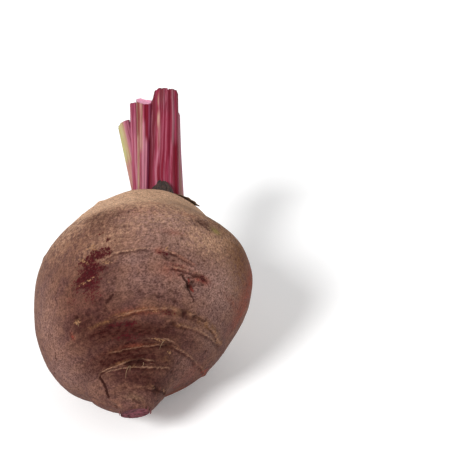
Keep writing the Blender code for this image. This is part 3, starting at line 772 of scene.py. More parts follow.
def close_ends(grid, points, masks):
    """Add the rows that close the cut tail and the domed crown, with their masks and growth places."""
    share = (np.arange(TAIL_FACE_ROWS) + 0.5) / TAIL_FACE_ROWS
    tail = face_rings(points[0], share)
    tail[..., 2] += 0.22 * lattice_noise(tail / 1.4, seed=201) + 0.30 * (1 - share[:, None] ** 3)
    share = 1 - np.arange(1, CROWN_FACE_ROWS + 1) / (CROWN_FACE_ROWS + 0.5)
    crown = face_rings(points[-1], share)
    rough = 0.45 * rough_noise(crown / 2.2, seed=203)
    crown[..., 2] += CROWN_DOME * (1 - share[:, None] ** 2) + rough * (1 - share[:, None] ** 4)

    def with_ends(values, on_tail=0.0, on_crown=0.0):
        rows = (TAIL_FACE_ROWS, CROWN_FACE_ROWS)
        return np.pad(values, (rows, (0, 0)), constant_values=((on_tail, on_crown), (0, 0)))

    closed = {name: with_ends(values) for name, values in masks.items()}
    closed["crown"] = with_ends(masks["crown"], on_crown=1.0)
    closed["low"] = with_ends(smoothstep(0.0, -26.0, grid.station))
    closed["flesh"] = with_ends(np.zeros(grid.station.shape), on_tail=1.0)
    closed["flesh"][TAIL_FACE_ROWS] = 0.7
    growth = np.concatenate((tail - (0, 0, 60.0), grid.growth, crown + (0, 0, 90.0)))
    return np.concatenate((tail, points, crown)), closed, growth


def tube_mesh(name, points, masks, vectors, finish, matrix=AXES):
    """A closed mesh through rings of points, in millimetres, with a point in the middle of each end."""
    rows, columns = points.shape[:2]
    index = np.arange(rows * columns).reshape(rows, columns)
    following = np.roll(index, -1, axis=1)
    quads = np.stack((index[:-1], following[:-1], following[1:], index[1:]), axis=-1).reshape(-1, 4)
    flat = points.reshape(-1, 3) * MM
    flat = flat @ np.array(matrix.to_3x3()).T + np.array(matrix.translation)
    first, last = len(flat), len(flat) + 1
    flat = np.vstack((flat, flat[index[0]].mean(axis=0), flat[index[-1]].mean(axis=0)))
    start = np.stack((following[0], index[0], np.full(columns, first)), axis=-1)
    end = np.stack((index[-1], following[-1], np.full(columns, last)), axis=-1)
    mesh = bpy.data.meshes.new(name)
    mesh.from_pydata(flat.tolist(), [], quads.tolist() + start.tolist() + end.tolist())
    for mask, values in masks.items():
        full = np.append(values.reshape(-1), (values[0].mean(), values[-1].mean()))
        layer = mesh.attributes.new(mask, "FLOAT", "POINT")
        layer.data.foreach_set("value", full.astype(np.float32))
    for vector, values in vectors.items():
        full = np.vstack((values.reshape(-1, 3), values[0].mean(axis=0), values[-1].mean(axis=0)))
        layer = mesh.attributes.new(vector, "FLOAT_VECTOR", "POINT")
        layer.data.foreach_set("vector", full.astype(np.float32).ravel())
    mesh.update()
    mesh.shade_smooth()
    mesh.materials.append(finish)
    piece = bpy.data.objects.new(name, mesh)
    bpy.context.scene.collection.objects.link(piece)
    return piece


def hand_over(piece, slot, *nodes):
    """Let a piece ride on the beet and stand for CAD nodes. The slot is not used."""
    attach(piece, BODY)
    if nodes:
        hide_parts(*nodes)


def rest_on_floor(piece):
    """Press the underside flat where it rests."""
    mesh = piece.data
    places = np.empty(len(mesh.vertices) * 3, np.float32)
    mesh.vertices.foreach_get("co", places)
    places[2::3] = np.maximum(places[2::3], 0.0)
    mesh.vertices.foreach_set("co", places)
    mesh.update()


class Nodes:
    """A node tree in the making. Each method adds a node and gives back what it puts out."""

    def __init__(self, tree):
        self.tree = tree

    def feed(self, node, values):
        """Link a node's sockets to those that feed them, or set them to plain values."""
        for name, value in values.items():
            socket = node.inputs[name]
            if isinstance(value, bpy.types.NodeSocket):
                self.tree.links.new(value, socket)
            elif socket.type == "RGBA":
                socket.default_value = (*value, 1.0)
            else:
                socket.default_value = value

    def add(self, kind, values=None, **settings):
        """Add a node with its settings, and feed its sockets."""
        node = self.tree.nodes.new(kind)
        for name, value in settings.items():
            setattr(node, name, value)
        self.feed(node, values or {})
        return node

    def mask(self, name):
        """A float that the mesh keeps at each point."""
        return self.add("ShaderNodeAttribute", attribute_name=name).outputs["Fac"]

    def place(self, name):
        """A vector that the mesh keeps at each point."""
        return self.add("ShaderNodeAttribute", attribute_name=name).outputs["Vector"]

    def noise(self, vector, scale, detail=2.0, roughness=0.5):
        values = {"Vector": vector, "Scale": scale, "Detail": detail, "Roughness": roughness}
        return self.add("ShaderNodeTexNoise", values).outputs["Fac"]

    def math(self, operation, *values):
        return self.add("ShaderNodeMath", dict(enumerate(values)), operation=operation).outputs[0]

    def times(self, first, second):
        return self.math("MULTIPLY", first, second)

    def band(self, value, low, high, start=0.0, end=1.0):
        """Smooth rise from start to end while the value goes from low to high."""
        values = {"Value": value, "From Min": low, "From Max": high, "To Min": start, "To Max": end}
        return self.add("ShaderNodeMapRange", values, interpolation_type="SMOOTHSTEP").outputs["Result"]

    def mix(self, share, first, second, blend="MIX"):
        """Mix two colours."""
        node = self.add("ShaderNodeMix", data_type="RGBA", blend_type=blend, clamp_factor=True)
        names = [socket.identifier for socket in node.inputs]
        inputs = (names.index(name) for name in ("Factor_Float", "A_Color", "B_Color"))
        self.feed(node, dict(zip(inputs, (share, first, second))))
        return next(socket for socket in node.outputs if socket.identifier == "Result_Color")

    def coat(self, colour, layers):
        """Lay colours over another in turn, each by its share."""
        for share, top in layers:
            colour = self.mix(share, colour, top)
        return colour

    def bump(self, strength, depth, height):
        """A normal that follows a height, whose whole range is a depth in millimetres."""
        values = {"Strength": strength, "Distance": depth * MM, "Height": height}
        return self.add("ShaderNodeBump", values).outputs["Normal"]

    def effect(self, name, **values):
        """A shared effect, built the first time that a material asks for it."""
        tree = bpy.data.node_groups.get(name) or EFFECTS[name](name)
        return self.add("ShaderNodeGroup", values, node_tree=tree).outputs


def new_effect(name, inputs, output):
    """The node group of a shared effect, the nodes in it, what it is given and its output node."""
    tree = bpy.data.node_groups.new(name, "ShaderNodeTree")
    for label, value in inputs.items():
        kind = "NodeSocketVector" if isinstance(value, tuple) else "NodeSocketFloat"
        tree.interface.new_socket(label, in_out="INPUT", socket_type=kind).default_value = value
    for label in output:
        tree.interface.new_socket(label, in_out="OUTPUT", socket_type="NodeSocketFloat")
    nodes = Nodes(tree)
    return tree, nodes, nodes.add("NodeGroupInput").outputs, nodes.add("NodeGroupOutput")


def build_flecks(name):
    """Flecks with soft edges: finer grain at a higher Grain, more of them at a higher Cover."""
    tree, nodes, given, result = new_effect(
        name, {"Vector": (0.0, 0.0, 0.0), "Grain": 1.0, "Cover": 0.5}, ("Flecks",))
    noise = nodes.noise(given["Vector"], given["Grain"], 4.0, 0.62)
    low = nodes.math("MULTIPLY_ADD", nodes.math("SUBTRACT", 1.0, given["Cover"]), 0.46, 0.22)
    nodes.feed(result, {"Flecks": nodes.band(noise, low, nodes.math("ADD", low, 0.09))})
    return tree


def build_streaks(name):
    """Streaks: noise drawn out by the stretch of its vector, with sharp thin lines picked from it."""
    tree, nodes, given, result = new_effect(
        name, {"Vector": (0.0, 0.0, 0.0), "Stretch": (1.0, 1.0, 1.0)}, ("Streaks", "Lines"))
    drawn = nodes.add("ShaderNodeVectorMath", {0: given["Vector"], 1: given["Stretch"]},
                      operation="MULTIPLY").outputs[0]
    noise = nodes.noise(drawn, 1.0, 4.0, 0.6)
    away = nodes.math("ABSOLUTE", nodes.math("SUBTRACT", noise, 0.5))
    nodes.feed(result, {"Streaks": noise, "Lines": nodes.band(away, 0.0, 0.035, 1.0, 0.0)})
    return tree


def build_pores(name):
    """Small dots in some of the cells of a grid: fewer of them at a lower Share."""
    tree, nodes, given, result = new_effect(
        name, {"Vector": (0.0, 0.0, 0.0), "Grain": 1.0, "Share": 0.4}, ("Pores",))
    cells = nodes.add("ShaderNodeTexVoronoi", {"Vector": given["Vector"], "Scale": given["Grain"]})
    dot = nodes.band(cells.outputs["Distance"], 0.10, 0.30, 1.0, 0.0)
    draw = nodes.add("ShaderNodeSeparateColor", {"Color": cells.outputs["Color"]}).outputs[0]
    chosen = nodes.math("LESS_THAN", draw, given["Share"])
    nodes.feed(result, {"Pores": nodes.times(dot, chosen)})
    return tree


def build_ragged(name):
    """A soft mask cut off along a broken edge by a noise: wider breaks at a higher Break."""
    tree, nodes, given, result = new_effect(name, {"Mask": 0.0, "Noise": 0.5, "Break": 1.0}, ("Share",))
    swing = nodes.times(nodes.math("SUBTRACT", given["Noise"], 0.5), given["Break"])
    edge = nodes.band(nodes.math("ADD", given["Mask"], swing), 0.34, 0.66)
    nodes.feed(result, {"Share": nodes.times(edge, nodes.band(given["Mask"], 0.02, 0.30))})
    return tree


def build_drawn_line(name):
    """A line where a gap in millimetres is nearly nothing, wavering with a noise."""
    tree, nodes, given, result = new_effect(
        name, {"Gap": 1.0, "Noise": 0.5, "Waver": 0.5, "Inner": 0.1, "Outer": 0.4}, ("Line",))
    swing = nodes.times(nodes.math("SUBTRACT", given["Noise"], 0.5), given["Waver"])
    away = nodes.math("ABSOLUTE", nodes.math("ADD", given["Gap"], swing))
    nodes.feed(result, {"Line": nodes.band(away, given["Inner"], given["Outer"], 1.0, 0.0)})
    return tree


EFFECTS = {
    "flecks": build_flecks,
    "streaks": build_streaks,
    "pores": build_pores,
    "ragged": build_ragged,
    "drawn_line": build_drawn_line,
}


def new_finish(name):
    """A material whose tree holds only its Principled shader and its output."""
    finish = bpy.data.materials.new(name)
    finish.use_nodes = True
    return finish, Nodes(finish.node_tree), finish.node_tree.nodes["Principled BSDF"]


def skin_finish(colours):
    """The root's skin: maroon under a lilac bloom and tan corky scurf, with the marks of its growth and
    painted shade and highlights on folds, cracks, pits, lower half and shoulder top.
    """
    finish, nodes, shader = new_finish("beet_skin")
    place = nodes.place("growth")
    fine = nodes.noise(place, 1.45, 5.0, 0.62)
    medium = nodes.noise(place, 0.55, 4.0, 0.60)
    soft = nodes.noise(place, 0.14, 3.0, 0.55)
    scurf = nodes.mask("scurf")
    flecks = nodes.effect("flecks", Vector=place, Grain=0.80, Cover=scurf)["Flecks"]
    crumbs = nodes.effect("flecks", Vector=place, Grain=1.25, Cover=0.40)["Flecks"]
    ring_lines = nodes.effect("streaks", Vector=place, Stretch=(0.22, 0.22, 1.7))["Lines"]
    pores = nodes.effect("pores", Vector=place, Grain=0.42, Share=0.45)["Pores"]

    def broken(name, noise, *band):
        """A mask broken up by a band of a noise."""
        return nodes.times(nodes.mask(name), nodes.band(noise, *band))

    def torn(name, width, strength):
        """A mask with a torn edge."""
        share = nodes.effect("ragged", Mask=nodes.mask(name), Noise=fine, Break=width)["Share"]
        return nodes.times(share, strength)

    def drawn(gap, noise, waver, inner, outer):
        """A line that wavers along a gap."""
        line = nodes.effect("drawn_line", Gap=gap, Noise=noise, Waver=waver, Inner=inner, Outer=outer)
        return line["Line"]

    # Lines: painted shade under each fold, a pale line on its lip that is partly its own tan and partly a
    # painted highlight, and the cracks
    fold_gap = nodes.mask("fold_gap")
    fold_shade_and_highlight = broken("fold_shade_and_highlight", fine, 0.34, 0.54, 0.40, 1.0)
    painted_fold_shade = nodes.times(drawn(nodes.math("ADD", fold_gap, 0.95), medium, 1.6, 0.15, 0.75),
                             nodes.times(fold_shade_and_highlight, 0.65))
    lip_line_and_highlight = nodes.times(drawn(fold_gap, medium, 1.6, 0.10, 0.46), fold_shade_and_highlight)
    crack = nodes.times(drawn(nodes.mask("crack_gap"), fine, 0.9, 0.10, 0.42), nodes.mask("crack_line"))

    # Cork and crown have two tones each, and so has the cut face of the tail
    rust = nodes.times(nodes.band(medium, 0.46, 0.60), nodes.band(scurf, 0.05, 0.40, 0.12, 0.70))
    cork_share = nodes.times(nodes.band(flecks, 0.0, 1.0, 0.22, 0.88), nodes.band(scurf, 0.05, 0.80))
    lit = nodes.times(nodes.band(fine, 0.26, 0.66), nodes.band(scurf, 0.40, 0.95, 0.16, 1.0))
    cork = nodes.mix(lit, colours.scurf_dark, colours.scurf)
    crown = nodes.mix(nodes.band(fine, 0.35, 0.65), colours.crown_dark, colours.crown)
    face = nodes.mix(nodes.band(medium, 0.38, 0.62), colours.tail_face_dark, colours.tail_face)
    bare = torn("bare", 3.2, nodes.band(crumbs, 0.0, 1.0, 0.98, 0.64))

    skin = nodes.mix(nodes.band(soft, 0.36, 0.64), colours.skin, colours.skin_warm)
    colour = nodes.coat(skin, (
        (rust, colours.rust),
        (broken("bloom", fine, 0.32, 0.60, 0.35, 1.0), colours.bloom),
        # Deep maroon: the skin's own dark areas, and painted shade in the fold creases and over the lower
        # half
        (broken("deep", medium, 0.30, 0.62, 1.10, 0.84), colours.deep),
        (cork_share, cork),
        (broken("blush", medium, 0.35, 0.60, 0.55, 1.0), colours.blush),
        (broken("tan", medium, 0.36, 0.60, 0.25, 1.0), colours.fold_tan),
        # Painted shade under each fold, then the lip line, partly a painted highlight
        (painted_fold_shade, colours.deep),
        (lip_line_and_highlight, colours.fold_pale_and_highlight),
        (nodes.mask("green"), colours.green),
        (nodes.mask("crown"), crown),
        (bare, colours.bare),
        (torn("gold", 3.2, 0.80), colours.gold),
        (torn("red", 2.4, 0.75), colours.red),
        (nodes.mask("flesh"), face)))

    # Light and dark grain over all of it, weaker where the cork is thick
    darkest = nodes.band(scurf, 0.20, 0.80, 0.58, 0.90)
    tone = nodes.times(nodes.band(fine, 0.26, 0.74, darkest, 1.42),
                       nodes.band(medium, 0.30, 0.70, 0.84, 1.16))
    tone = nodes.add("ShaderNodeCombineColor", {0: tone, 1: tone, 2: tone}).outputs[0]
    colour = nodes.coat(nodes.mix(1.0, colour, tone, "MULTIPLY"), (
        (nodes.times(ring_lines, nodes.band(nodes.mask("low"), 0.0, 1.0, 0.06, 0.25)), colours.deep),
        (nodes.times(pores, 0.45), colours.deep),
        # Dark in the pits and cracks: partly their own dark and partly painted shade in the hollows
        (nodes.mask("dark"), colours.dark),
        (crack, colours.dark)))

    height = fine
    for share, amount in ((flecks, 0.4), (pores, -0.8), (ring_lines, -0.25), (crack, -1.2), (lip_line_and_highlight, 0.8)):
        height = nodes.math("MULTIPLY_ADD", share, amount, height)
    nodes.feed(shader, {
        "Base Color": colour, "Roughness": nodes.band(nodes.mask("bare"), 0.0, 1.0, 0.66, 0.50),
        "Specular IOR Level": 0.05, "Normal": nodes.bump(0.6, 0.22, height)})
    return finish


def stalk_finish(colours):
    """Leaf stalk: crimson with pink ribs and dark grooves, striped along its length, pale at the cut."""
    finish, nodes, shader = new_finish("beet_stalk")
    fibre = nodes.place("fibre")
    broad = nodes.effect("streaks", Vector=fibre, Stretch=(0.8, 0.8, 0.025))["Streaks"]
    fine = nodes.effect("streaks", Vector=fibre, Stretch=(2.0, 2.0, 0.045))["Streaks"]
    dots = nodes.effect("flecks", Vector=fibre, Grain=1.3, Cover=0.42)["Flecks"]
    rib = nodes.mask("rib")
    calm = nodes.band(nodes.mask("deep"), 0.3, 1.0, 1.0, 0.25)
    body = nodes.mix(nodes.band(broad, 0.38, 0.62), colours.crimson, colours.pink)
    striped = nodes.coat(body, [(nodes.mask(tint), getattr(colours, tint)) for tint in STALK_TINTS])
    colour = nodes.coat(striped, (
        (nodes.times(nodes.band(rib, 0.60, 1.0, 0.0, 0.22), calm), colours.pale),
        (nodes.band(rib, 0.35, 0.0, 0.0, 0.45), colours.deep),
        (nodes.times(nodes.band(fine, 0.54, 0.66, 0.0, 0.40), calm), colours.pale),
        (nodes.band(fine, 0.48, 0.36, 0.0, 0.60), colours.deep),
        (nodes.mask("cut"), nodes.mix(nodes.times(dots, 0.35), colours.cut_face, colours.pale))))
    nodes.feed(shader, {
        "Base Color": colour, "Roughness": nodes.band(fine, 0.3, 0.7, 0.42, 0.56),
        "Specular IOR Level": 0.12, "Normal": nodes.bump(0.35, 0.12, fine),
        "Subsurface Weight": 0.10, "Subsurface Radius": (0.0012, 0.0003, 0.0004),
        "Subsurface Scale": 1.0})
    return finish


def dry_finish(name, dark, light, edge):
    """Dried leaf: fibres of two tones along it, with a paler torn edge."""
    finish, nodes, shader = new_finish(name)
    fibre = nodes.place("fibre")
    streaks = nodes.effect("streaks", Vector=fibre, Stretch=(2.2, 2.2, 0.45))["Streaks"]
    flecks = nodes.effect("flecks", Vector=fibre, Grain=2.0, Cover=0.35)["Flecks"]
    colour = nodes.coat(nodes.mix(nodes.band(streaks, 0.36, 0.64), dark, light),
                        ((nodes.times(flecks, 0.35), edge), (nodes.mask("rim"), edge)))
    nodes.feed(shader, {
        "Base Color": colour, "Roughness": nodes.band(streaks, 0.3, 0.7, 0.70, 0.90),
        "Specular IOR Level": 0.35, "Normal": nodes.bump(0.6, 0.25, streaks)})
    return finish


def plain_fibre_finish(name, colour, other):
    """Hair roots and torn tags: two tones in short streaks."""
    finish, nodes, shader = new_finish(name)
    noise = nodes.noise(nodes.place("fibre"), 1.4, 3.0)
    nodes.feed(shader, {
        "Base Color": nodes.mix(noise, colour, other),
        "Roughness": nodes.band(noise, 0.3, 0.7, 0.55, 0.8), "Specular IOR Level": 0.35})
    return finish


def stalk_pose(shape):
    """Where a stalk stands on the crown: Z along the stalk, +Y the way its ribbed back faces."""
    lean_right, lean_up = (tan(radians(angle)) for angle in shape["lean"])
    along = Vector((lean_right, -lean_up, 1.0)).normalized()
    facing = radians(shape["facing"])
    back = Vector((cos(facing), -sin(facing), 0.0))
    across = back.cross(along).normalized()
    back = along.cross(across)
    pose = Matrix((across, back, along)).transposed().to_4x4()
    right, up = shape["place"]
    pose.translation = Vector((right, -up, CROWN_STATION)) * MM
    return pose


def rib_height(across, grooves):
    """Height of the back's ribs from 0 in a groove to 1 on a crest."""
    height = np.zeros(across.shape)
    for start, end in zip(grooves, grooves[1:]):
        inside = (across >= start) & (across <= end)
        height = np.where(inside, np.sin(pi * np.clip((across - start) / (end - start), 0, 1)), height)
    return height


class StalkSection:
    """A stalk's outline: a ribbed back at turns up to 180 degrees, and a front with a shallow groove."""

    def __init__(self, shape, columns, seed):
        self.turn = np.arange(columns) * 360.0 / columns
        self.across = np.cos(np.radians(self.turn))
        self.on_back = self.turn <= 180.0
        self.rim = np.abs(np.sin(np.radians(self.turn))) ** SECTION_FULLNESS
        self.ribs = np.where(self.on_back, rib_height(self.across, shape["grooves"]), FRONT_RIB)
        grain_at = (self.across * 9.0, np.where(self.on_back, 0.0, 7.0), np.full(columns, seed * 3.1))
        self.grain = lattice_noise(np.stack(grain_at, axis=-1), seed)
        thickness = shape["thickness"]
        back = BACK_SHARE * thickness * self.rim - RIB_DEPTH * (1 - self.ribs) * self.rim
        front = -(1 - BACK_SHARE) * thickness * self.rim
        front += FRONT_GROOVE_SHARE * thickness * bell(self.across, FRONT_GROOVE_HALF_WIDTH)
        self.depth = np.where(self.on_back, back, front)


def stalk_body(shape, section, rows, seed):
    """Rings from a stalk's foot to its cut, and how far up the stalk each point is, from 0 to 1."""
    foot_width, cut_width = shape["width"]
    across, rim, depth = section.across, section.rim, section.depth
    cut = shape["length"] - depth * tan(radians(shape["cut_lean"]))
    cut += cut_width / 2 * across * tan(radians(shape["cut_tilt"]))
    for place, half_width, drop in shape["notches"]:
        notch = np.exp(-(((across - place) / half_width) ** 4))
        cut -= drop * notch * (section.on_back | (abs(place) == 1))
    cut += CUT_ROUGHNESS * lattice_noise(np.stack((across * 5, rim * 3, rim * 0), axis=-1), seed + 9)
    along = -STALK_FOOT + (cut + STALK_FOOT) * np.linspace(0.0, 1.0, rows)[:, None]
    grown = np.clip(along / shape["length"], 0.0, 1.0)
    width = foot_width + (cut_width - foot_width) * grown
    flare = 1 + FOOT_FLARE * np.exp(-np.clip(along, 0, None) / FOOT_FLARE_LENGTH)
    bow = shape["bow"] * 4 * grown * (1 - grown)
    wander = STALK_WANDER * lattice_noise(on_line(along / STALK_WANDER_LENGTH, seed), seed + 1)
    grain = FINE_RIB_DEPTH * section.grain * (0.75 + 0.25 * np.sin(along / 6.0 + seed))
    right = width / 2 * across * flare + grain * across + wander
    back = (depth + grain * np.sign(depth) * rim) * flare + bow
    return np.stack((right, back, along), axis=-1), grown


def stalk_cap(shape, rim, rows, seed):
    """Rings from the rim of the cut to the middle of its slanting, slightly sunken face."""
    inward = (np.arange(1, rows + 1) / (rows + 0.5)) ** 0.8
    rings = face_rings(rim, 1 - inward)
    ease = smoothstep(0.0, 0.35, inward)[:, None]
    face = shape["length"] - rings[..., 1] * tan(radians(shape["cut_lean"]))
    face += rings[..., 0] * tan(radians(shape["cut_tilt"]))
    rings[..., 2] = rim[:, 2] * (1 - ease) + face * ease
    rings[..., 2] += 0.06 - 0.30 * smoothstep(0.05, 0.6, inward)[:, None]
    rings[..., 2] += CUT_GRAIN * lattice_noise(rings / CUT_GRAIN_WIDTH, seed + 4) * ease
    return rings


def stripe_masks(stripes, turn, grown, seed):
    """A mask for each tint of a stalk, whose stripes waver and fade at both ends."""
    masks = {tint: np.zeros(grown.shape) for tint in STALK_TINTS}
    turn = turn + 5.0 * lattice_noise(on_line(grown * 4, seed), seed + 6)
    for tint, rows in stripes.items():
        for middle, half_width, start, end, strength in rows:
            off = np.abs(turn_from(middle, turn)) / half_width
            reach = smoothstep(start - 0.07, start + 0.03, grown) * smoothstep(end + 0.07, end - 0.03, grown)
            masks[tint] = laid_over(masks[tint], strength * smoothstep(1.35, 0.65, off) * reach)
    return masks


def stalk_points(shape, rows, columns, cap_rows, seed):
    """Rings of a stalk from its foot to its cut and in over the cut face, with its masks."""
    shape = PLAIN_STALK | shape
    section = StalkSection(shape, columns, seed)
    body, grown = stalk_body(shape, section, rows, seed)
    points = np.concatenate((body, stalk_cap(shape, body[-1], cap_rows, seed)))
    grown = np.concatenate((grown, np.ones((cap_rows, columns))))
    masks = stripe_masks(shape["stripes"], section.turn, grown, seed)
    ridge = np.clip(0.5 * section.ribs + 0.25 + 0.5 * section.grain, 0.0, 1.0)
    masks["rib"] = np.broadcast_to(ridge, grown.shape)
    masks["cut"] = np.zeros(grown.shape)
    masks["cut"][rows:] = 1.0
    return points, masks


def build_stalk(name, shape, finish, settings, seed):
    """One leaf stalk, standing in for its solid."""
    points, masks = stalk_points(shape, settings.rings, settings.sides, STALK_CAP_ROWS, seed)
    fibre = points + (seed * 13.0, 0.0, 0.0)
    piece = tube_mesh(name + "_dressed", points, masks, {"fibre": fibre}, finish, AXES @ stalk_pose(shape))
    hand_over(piece, "stalk", name)


def leaf_base_points():
    """The dried leaf base: a short stalk, swollen, wrinkled and torn along its top."""
    points, masks = stalk_points(LEAF_BASE, seed=21, **LEAF_BASE_MESH)
    wrinkle = rough_noise(points / (0.9, 0.9, 3.0), seed=23)
    risen = points[..., 2] / LEAF_BASE["length"]
    points[..., 0] *= 0.84 * (1 + 0.42 * np.sin(pi * np.clip(risen, 0.0, 1.0)))
    points[..., :2] += 0.38 * wrinkle[..., None]
    tears = np.abs(lattice_noise(points / (1.3, 1.3, 9.0), seed=27))
    points[..., 2] -= 1.1 * smoothstep(0.4, 1.0, risen) * tears
    return points, {"rim": 0.35 * masks["cut"]}


def scrap_points():
    """Rings across the papery scrap along its length, the mask of its rim and its fibre places."""
    (start_station, start_angle), (end_station, end_angle) = SCRAP_ENDS
    share = np.linspace(0.0, 1.0, SCRAP_ROWS)[:, None]
    middle = np.sin(pi * share)
    width = SCRAP_WIDTH * (SCRAP_END_SHARE + (1 - SCRAP_END_SHARE) * np.sqrt(np.clip(middle, 0, 1)))
    width = width * (1 + SCRAP_RAGGED * rough_noise(on_line(share * 9), seed=41))
    half = SCRAP_SIDES // 2
    over = np.concatenate((np.linspace(0, 1, half), np.linspace(1, 0, half))) + 0 * share
    upper = np.repeat((0.0, 1.0), half) + 0 * share
    station = start_station + (end_station - start_station) * share - width * over
    angle = start_angle + (end_angle - start_angle) * share + 0 * over
    curl = SCRAP_CURL * over**2 * (1 + middle) / 2
    ripple = SCRAP_RIPPLE * np.sin(share * 26 + over * 3) * over
    thick = SCRAP_THICKNESS * upper * np.clip(np.minimum(over, 1 - over) * 4 + 0.25, 0, 1)
    lift = SCRAP_LIFT * (0.2 + 0.8 * over) + curl + ripple + thick
    rim = 0.9 * smoothstep(0.72, 0.95, over) + 0.4 * smoothstep(0.12, 0.0, over)
    fibre = np.stack((over * 3.0, upper * 0.6, share * 14.0 + 0 * over), axis=-1)
    return root_points(station, angle, lift), {"rim": rim}, {"fibre": fibre}


def strand_rings(path, radius, flatness):
    """Rings of a thin tapering strand along (station, angle, height) points, and its fibre places."""
    share = np.linspace(0.0, 1.0, STRAND_STEPS)
    knots = np.linspace(0.0, 1.0, len(path))
    curve = np.array([np.interp(share, knots, values) for values in zip(*path)])
    for _ in range(2):
        inner = np.array([np.convolve(row, (0.25, 0.5, 0.25), mode="valid") for row in curve])
        curve = np.concatenate((curve[:, :1], inner, curve[:, -1:]), axis=1)
    centre = root_points(*curve)
    tangent = unit(np.gradient(centre, axis=0))
    side = unit(np.cross(tangent, unit(centre * (1, 1, 0))))
    outward = np.cross(side, tangent)
    turn = np.arange(STRAND_SIDES)[:, None] * 2 * pi / STRAND_SIDES
    taper = radius * (1 - STRAND_TAPER * share**1.5)
    ring = np.cos(turn) * side[:, None] + flatness * np.sin(turn) * outward[:, None]
    section = (radius * np.cos(turn[:, 0]), radius * np.sin(turn[:, 0]))
    fibre = np.stack(np.broadcast_arrays(*section, share[:, None] * 6.0), axis=-1)
    return centre[:, None] + taper[:, None, None] * ring, fibre


def strand_piece(name, paths, radius, finish, flatness=1.0):
    """Thin strands, joined in one mesh."""
    pieces = []
    for number, path in enumerate(paths):
        rings, fibre = strand_rings(path, radius, flatness)
        fibre = fibre + (number * 3.0, 0.0, 0.0)
        pieces.append(tube_mesh(f"{name}_{number}", rings, {}, {"fibre": fibre}, finish))
    bpy.ops.object.select_all(action="DESELECT")
    for piece in pieces:
        piece.select_set(True)
    bpy.context.view_layer.objects.active = pieces[0]
    bpy.ops.object.join()
    joined = bpy.context.view_layer.objects.active
    joined.name = name
    return joined


def build_floor(settings):
    """A matt white floor just under the beet."""
    half = settings.floor_size / 2
    corners = [(x * half, y * half, -FLOOR_GAP) for x, y in ((-1, -1), (1, -1), (1, 1), (-1, 1))]
    mesh = bpy.data.meshes.new("floor")
    mesh.from_pydata(corners, [], [(0, 1, 2, 3)])
    finish, nodes, shader = new_finish("floor_white")
    nodes.feed(shader, {
        "Base Color": settings.floor, "Roughness": 0.9, "Specular IOR Level": 0.1,
        "Emission Color": (1.0, 1.0, 1.0), "Emission Strength": settings.floor_glow})
    mesh.materials.append(finish)
    floor = bpy.data.objects.new("floor", mesh)
    bpy.context.scene.collection.objects.link(floor)


def add_sun(name, direction, strength, spread):
    """A soft light from far away."""
    data = bpy.data.lights.new(name, "SUN")
    data.energy = strength
    data.angle = spread
    light = bpy.data.objects.new(name, data)
    light.rotation_euler = (-direction).to_track_quat("-Z", "Y").to_euler()
    bpy.context.scene.collection.objects.link(light)


def build_camera(scene):
    """The camera, at the photograph's height and side, looking a little past the beet."""
    back = Vector((sin(CAMERA_AZIMUTH) * cos(CAMERA_ELEVATION),
                   -cos(CAMERA_AZIMUTH) * cos(CAMERA_ELEVATION), sin(CAMERA_ELEVATION)))
    right = Vector((cos(CAMERA_AZIMUTH), sin(CAMERA_AZIMUTH), 0.0))
    up = back.cross(right)
    data = bpy.data.cameras.new("photo_camera")
    data.lens = CAMERA_LENS
    data.sensor_width = CAMERA_SENSOR
    data.clip_start = 0.01
    data.clip_end = 20.0
    camera = bpy.data.objects.new("photo_camera", data)
    camera.location = BELLY_PLACE + back * CAMERA_DISTANCE
    aim = BELLY_PLACE + right * AIM_RIGHT + up * AIM_UP
    level = (aim - camera.location).to_track_quat("-Z", "Y")
    camera.rotation_euler = (level @ Quaternion((0.0, 0.0, 1.0), CAMERA_ROLL)).to_euler()
    scene.collection.objects.link(camera)
    return camera


class BeetSkin(bpy.types.PropertyGroup):
    """Size of the skin's mesh."""
    rows: IntProperty(name="Rows", description="Rings of the skin's mesh from tail to crown",
                      default=232, min=60, max=240)
    columns: IntProperty(name="Columns", description="Points round each ring", default=372, min=90, max=390)


class BeetStalks(bpy.types.PropertyGroup):
    """Size of the stalks' meshes."""
    rings: IntProperty(name="Rings", description="Rings along a stalk", default=90, min=20, max=160)
    sides: IntProperty(name="Sides", description="Points round a stalk", default=168, min=40, max=240)


def tint(name, description, value):
    """A colour setting."""
    return FloatVectorProperty(
        name=name, description=description, default=value, size=3, subtype="COLOR", min=0.0, max=1.0)


